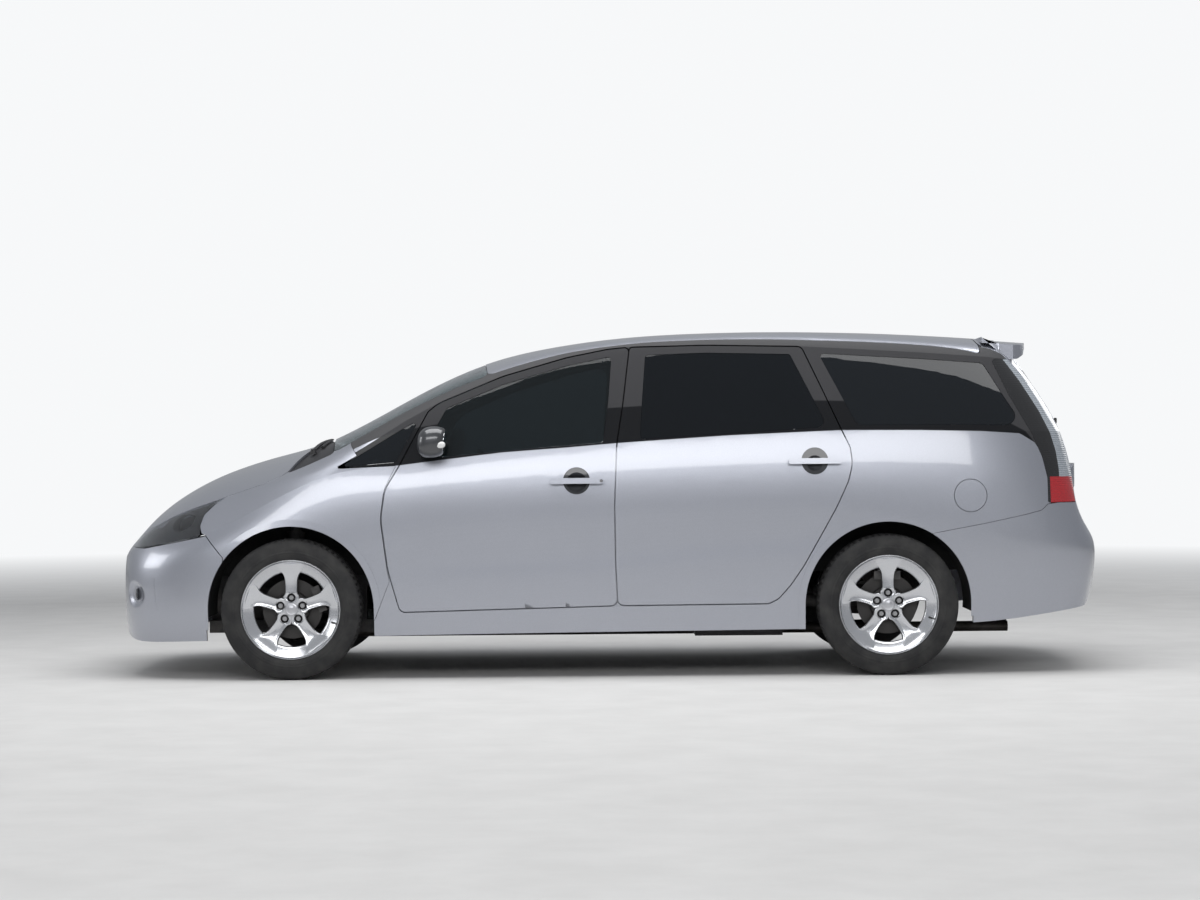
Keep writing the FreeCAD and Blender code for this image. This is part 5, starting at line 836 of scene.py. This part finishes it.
def skin_of(part):
    """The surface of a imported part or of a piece, to cast rays at."""
    return BVHTree.FromObject(part, bpy.context.evaluated_depsgraph_get())


def inner_side(skin, sign, x, z):
    """How far from the middle of the car the inner side of a door lies."""
    hit = skin.ray_cast(Vector((x, 0, z)), Vector((0, sign, 0)))[0]
    return abs(hit.y) if hit else 0.80


for name, (rest_x, rest_z) in ARMRESTS.items():
    for side, sign in (("left", -1), ("right", 1)):
        label = f"{name}_{side}"
        door = skin_of(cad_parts[label])
        hit = door.ray_cast(Vector((LOCK_X, sign * 1.3, LOCK_Z)), Vector((0, -sign, 0)))[0]
        if name == "front_door" and hit:
            shape = bmesh.new()
            stub(shape, 0.0085, 0.0075, 0.004, 24, hit + Vector((0, sign * 0.0005, 0)),
                 (-sign * math.pi / 2, "X"))
            lock = made(shape, f"lock_barrel_{side}", plated, label)
        y = inner_side(door, sign, rest_x + 0.2, rest_z) - 0.028
        low, high = sorted((sign * y, sign * (y + 0.05)))
        rounded_box(f"{label}_armrest", (rest_x, low, rest_z - 0.030), (rest_x + 0.40, high, rest_z + 0.022),
                    0.012, card_plastic, label)
        rounded_box(f"{label}_latch_lever", (rest_x + 0.03, low, rest_z + 0.085),
                    (rest_x + 0.115, high, rest_z + 0.112), 0.006, handle_chrome, label)
        if name == "front_door":
            shape = bmesh.new()
            y = inner_side(door, sign, SPEAKER_X, SPEAKER_Z)
            stub(shape, 0.085, 0.080, 0.02, 48, Vector((SPEAKER_X, sign * y, SPEAKER_Z)),
                 (sign * math.pi / 2, "X"))
            speaker = made(shape, f"{label}_speaker", mesh_black, label)


# Wipers: two pressed steel arms in satin black on splined pivots in the cowl, each carrying a rubber
# blade parked along the foot of the windscreen.

wiper_black = grain(finish("wiper_black", (0.010, 0.010, 0.011), 0.45), 400, 0.2, 0.0004)
screen, cowl_top = skin_of(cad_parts["fixed_glass"]), skin_of(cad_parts["cowl"])
# For each wiper its pivot and its arm's tip, seen from above, and where the blade's ends lie across.
WIPERS = [((-1.435, -0.560), (-1.395, -0.02), -0.50, 0.10), ((-1.440, 0.080), (-1.410, 0.56), 0.16, 0.66)]
ARM_STEPS = (0, 0.12, 0.3, 0.5, 0.7, 0.85, 1)
BLADE_STEPS = (0, 0.15, 0.3, 0.45, 0.6, 0.75, 0.9, 1)
ARM_LIFT, BLADE_LIFT = 0.022, 0.010


def lie_on(x, y, lift):
    """The point above the windscreen or cowl at x and y, lifted off it."""
    hits = [skin.ray_cast(Vector((x, y, 3)), Vector((0, 0, -1)))[0] for skin in (screen, cowl_top)]
    heights = [hit.z for hit in hits if hit]
    return Vector((x, y, max(heights) + lift)) if heights else None


def bar(shape, points, half_width, half_height):
    """A flat bar through the points, with square ends."""
    sections = []
    for index, point in enumerate(points):
        ahead = (points[min(index + 1, len(points) - 1)] - points[max(index - 1, 0)]).normalized()
        side_way = ahead.cross(Vector((0, 0, 1))).normalized()
        up = side_way.cross(ahead).normalized()
        sections.append([point + side_way * a * half_width + up * b * half_height
                         for a, b in ((-1, -1), (1, -1), (1, 0.4), (0.4, 1), (-0.4, 1), (-1, 0.4))])
    lofted(shape, sections)


for index, (pivot, tip, low_end, high_end) in enumerate(WIPERS):
    shape = bmesh.new()
    arm = [lie_on(pivot[0] + (tip[0] - pivot[0]) * s, pivot[1] + (tip[1] - pivot[1]) * s, ARM_LIFT)
           for s in ARM_STEPS]
    arm = [point for point in arm if point]
    bar(shape, arm, 0.009, 0.004)
    blade = [lie_on(tip[0] - 0.016 + 0.02 * math.cos((s - 0.4) * 2), low_end + (high_end - low_end) * s,
                    BLADE_LIFT) for s in BLADE_STEPS]
    bar(shape, [point for point in blade if point], 0.006, 0.008)
    stub(shape, 0.019, 0.012, 0.026, 24, arm[0] - Vector((0, 0, 0.004)))
    wiper = made(shape, f"windscreen_wiper_{index}", wiper_black, "car_body", smooth=35)


# Plates: blank aluminium number plates with rolled edges, riveted to the flat seats front and rear.

blank_plate = grain(finish("blank_plate", (0.62, 0.62, 0.60), 0.45), 200, 0.1, 0.0003)
rounded_box("front_plate", (-2.3915, -0.260, 0.4445), (-2.3895, 0.260, 0.5565), 0.0009, blank_plate,
            "car_body")
rounded_box("rear_plate", (2.2955, -0.260, 0.878), (2.2990, 0.260, 0.992), 0.0012, blank_plate,
            "tailgate")


# Fog lamps: a surround in body colour with a round dish set flush in each corner of the front bumper,
# with a small lamp behind clear glass at its bottom, held from behind by three screws.

# Corners of the surround from the car's middle outwards and up: outer low and high, inner high and low.
FOG_CORNERS = [(0.780, 0.3315), (0.780, 0.4870), (0.582, 0.4790), (0.563, 0.3230)]
FOG_MIDDLE, FOG_R, FOG_SUNK, FOG_SHOULDER = (0.673, 0.4045), 0.066, 0.0175, 0.42
FOG_STEPS, FOG_PROUD, FOG_WALL = 36, 0.0006, 0.0022
FOG_BACK, FOG_BULGE, FOG_LENS_R = 0.0035, 0.007, 0.030
fog_glass = finish("fog_glass", (0.10, 0.105, 0.11), 0.05, Coat_Weight=1.0)
grain(fog_glass, 120, 0.15, 0.0008)
bumper_skin = skin_of(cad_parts["front_bumper"])


def part_way(a, b, share):
    """The point that lies a share of the way from one point to another."""
    return [a[k] + (b[k] - a[k]) * share for k in (0, 1)]


def nose_at(sign, y, z):
    """Where the bumper's front lies, on one side, at a distance from the middle and a height."""
    hit = bumper_skin.ray_cast(Vector((-3, sign * y, z)), Vector((1, 0, 0)))[0]
    return hit.x if hit else -2.2


def fog_point(sign, u, v):
    """A point of the surround, a share u of the way inwards and v of the way up.

    Its edges follow the bumper, the sheet between them is stretched, and a round dish is sunk in it.
    """
    low_out, high_out, high_in, low_in = FOG_CORNERS
    outer, inner = part_way(low_out, high_out, v), part_way(low_in, high_in, v)
    under, over = part_way(low_out, low_in, u), part_way(high_out, high_in, u)
    y, z = part_way(outer, inner, u)
    edges = ((1 - u) * nose_at(sign, *outer) + u * nose_at(sign, *inner)
             + (1 - v) * nose_at(sign, *under) + v * nose_at(sign, *over))
    corners = ((1 - u) * (1 - v) * nose_at(sign, *low_out) + (1 - u) * v * nose_at(sign, *high_out)
               + u * (1 - v) * nose_at(sign, *low_in) + u * v * nose_at(sign, *high_in))
    far = math.hypot(y - FOG_MIDDLE[0], z - FOG_MIDDLE[1]) / FOG_R
    t = min(1, max(0, (1 - far) / FOG_SHOULDER))
    return (edges - corners - FOG_PROUD + FOG_SUNK * t * t * (3 - 2 * t), sign * y, z)


for side, sign in (("left", -1), ("right", 1)):
    shape = bmesh.new()
    shares = [step / FOG_STEPS for step in range(FOG_STEPS + 1)]
    rows = [[shape.verts.new(fog_point(sign, u, v)) for v in shares] for u in shares]
    for a, b in zip(rows, rows[1:]):
        for k in range(FOG_STEPS):
            shape.faces.new((a[k], a[k + 1], b[k + 1], b[k]))
    thickened(shape, (FOG_WALL, 0, 0))
    surround = made(shape, f"fog_surround_{side}", body_paint, "car_body", smooth=50)
    behind_skin = nose_at(sign, *FOG_MIDDLE) - FOG_BACK
    in_dish = nose_at(sign, FOG_MIDDLE[0], FOG_CORNERS[1][1]) + FOG_SUNK - 0.004
    lens_x = min(behind_skin, in_dish)
    shape = bmesh.new()
    lens = bmesh.ops.create_uvsphere(shape, u_segments=36, v_segments=16, radius=1)
    for vert in lens["verts"]:
        x, y, z = vert.co
        vert.co = (lens_x + FOG_BULGE * z, sign * FOG_MIDDLE[0] + FOG_LENS_R * x,
                   FOG_MIDDLE[1] + FOG_LENS_R * y)
    lamp = made(shape, f"fog_lamp_{side}", fog_glass, "car_body")


# Rear wiper: a capped pivot through the tailgate under the window, with one short arm and blade
# parked along the foot of the glass.

gate_skin, pane_skin = skin_of(tailgate_leaf), skin_of(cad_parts["tailgate_glass"])
REAR_STEPS = (0, 0.25, 0.5, 0.75, 1)


def back_point(y, z, off):
    """The point behind the tailgate or its glass at y and z, moved off it."""
    hits = [tree.ray_cast(Vector((3, y, z)), Vector((-1, 0, 0)))[0] for tree in (gate_skin, pane_skin)]
    return Vector((max(hit.x for hit in hits if hit) + off, y, z))


shape = bmesh.new()
stub(shape, 0.024, 0.016, 0.034, 28, back_point(0, 1.165, 0.015), (math.pi / 2, "Y"))
bar(shape, [back_point(-0.40 * s, 1.165 + 0.045 * s, 0.020 - 0.004 * s) for s in REAR_STEPS], 0.008, 0.005)
bar(shape, [back_point(-0.10 - 0.34 * s, 1.192 + 0.012 * s, 0.008) for s in REAR_STEPS], 0.006, 0.007)
rear_wiper = made(shape, "rear_wiper", wiper_black, "tailgate", smooth=35)
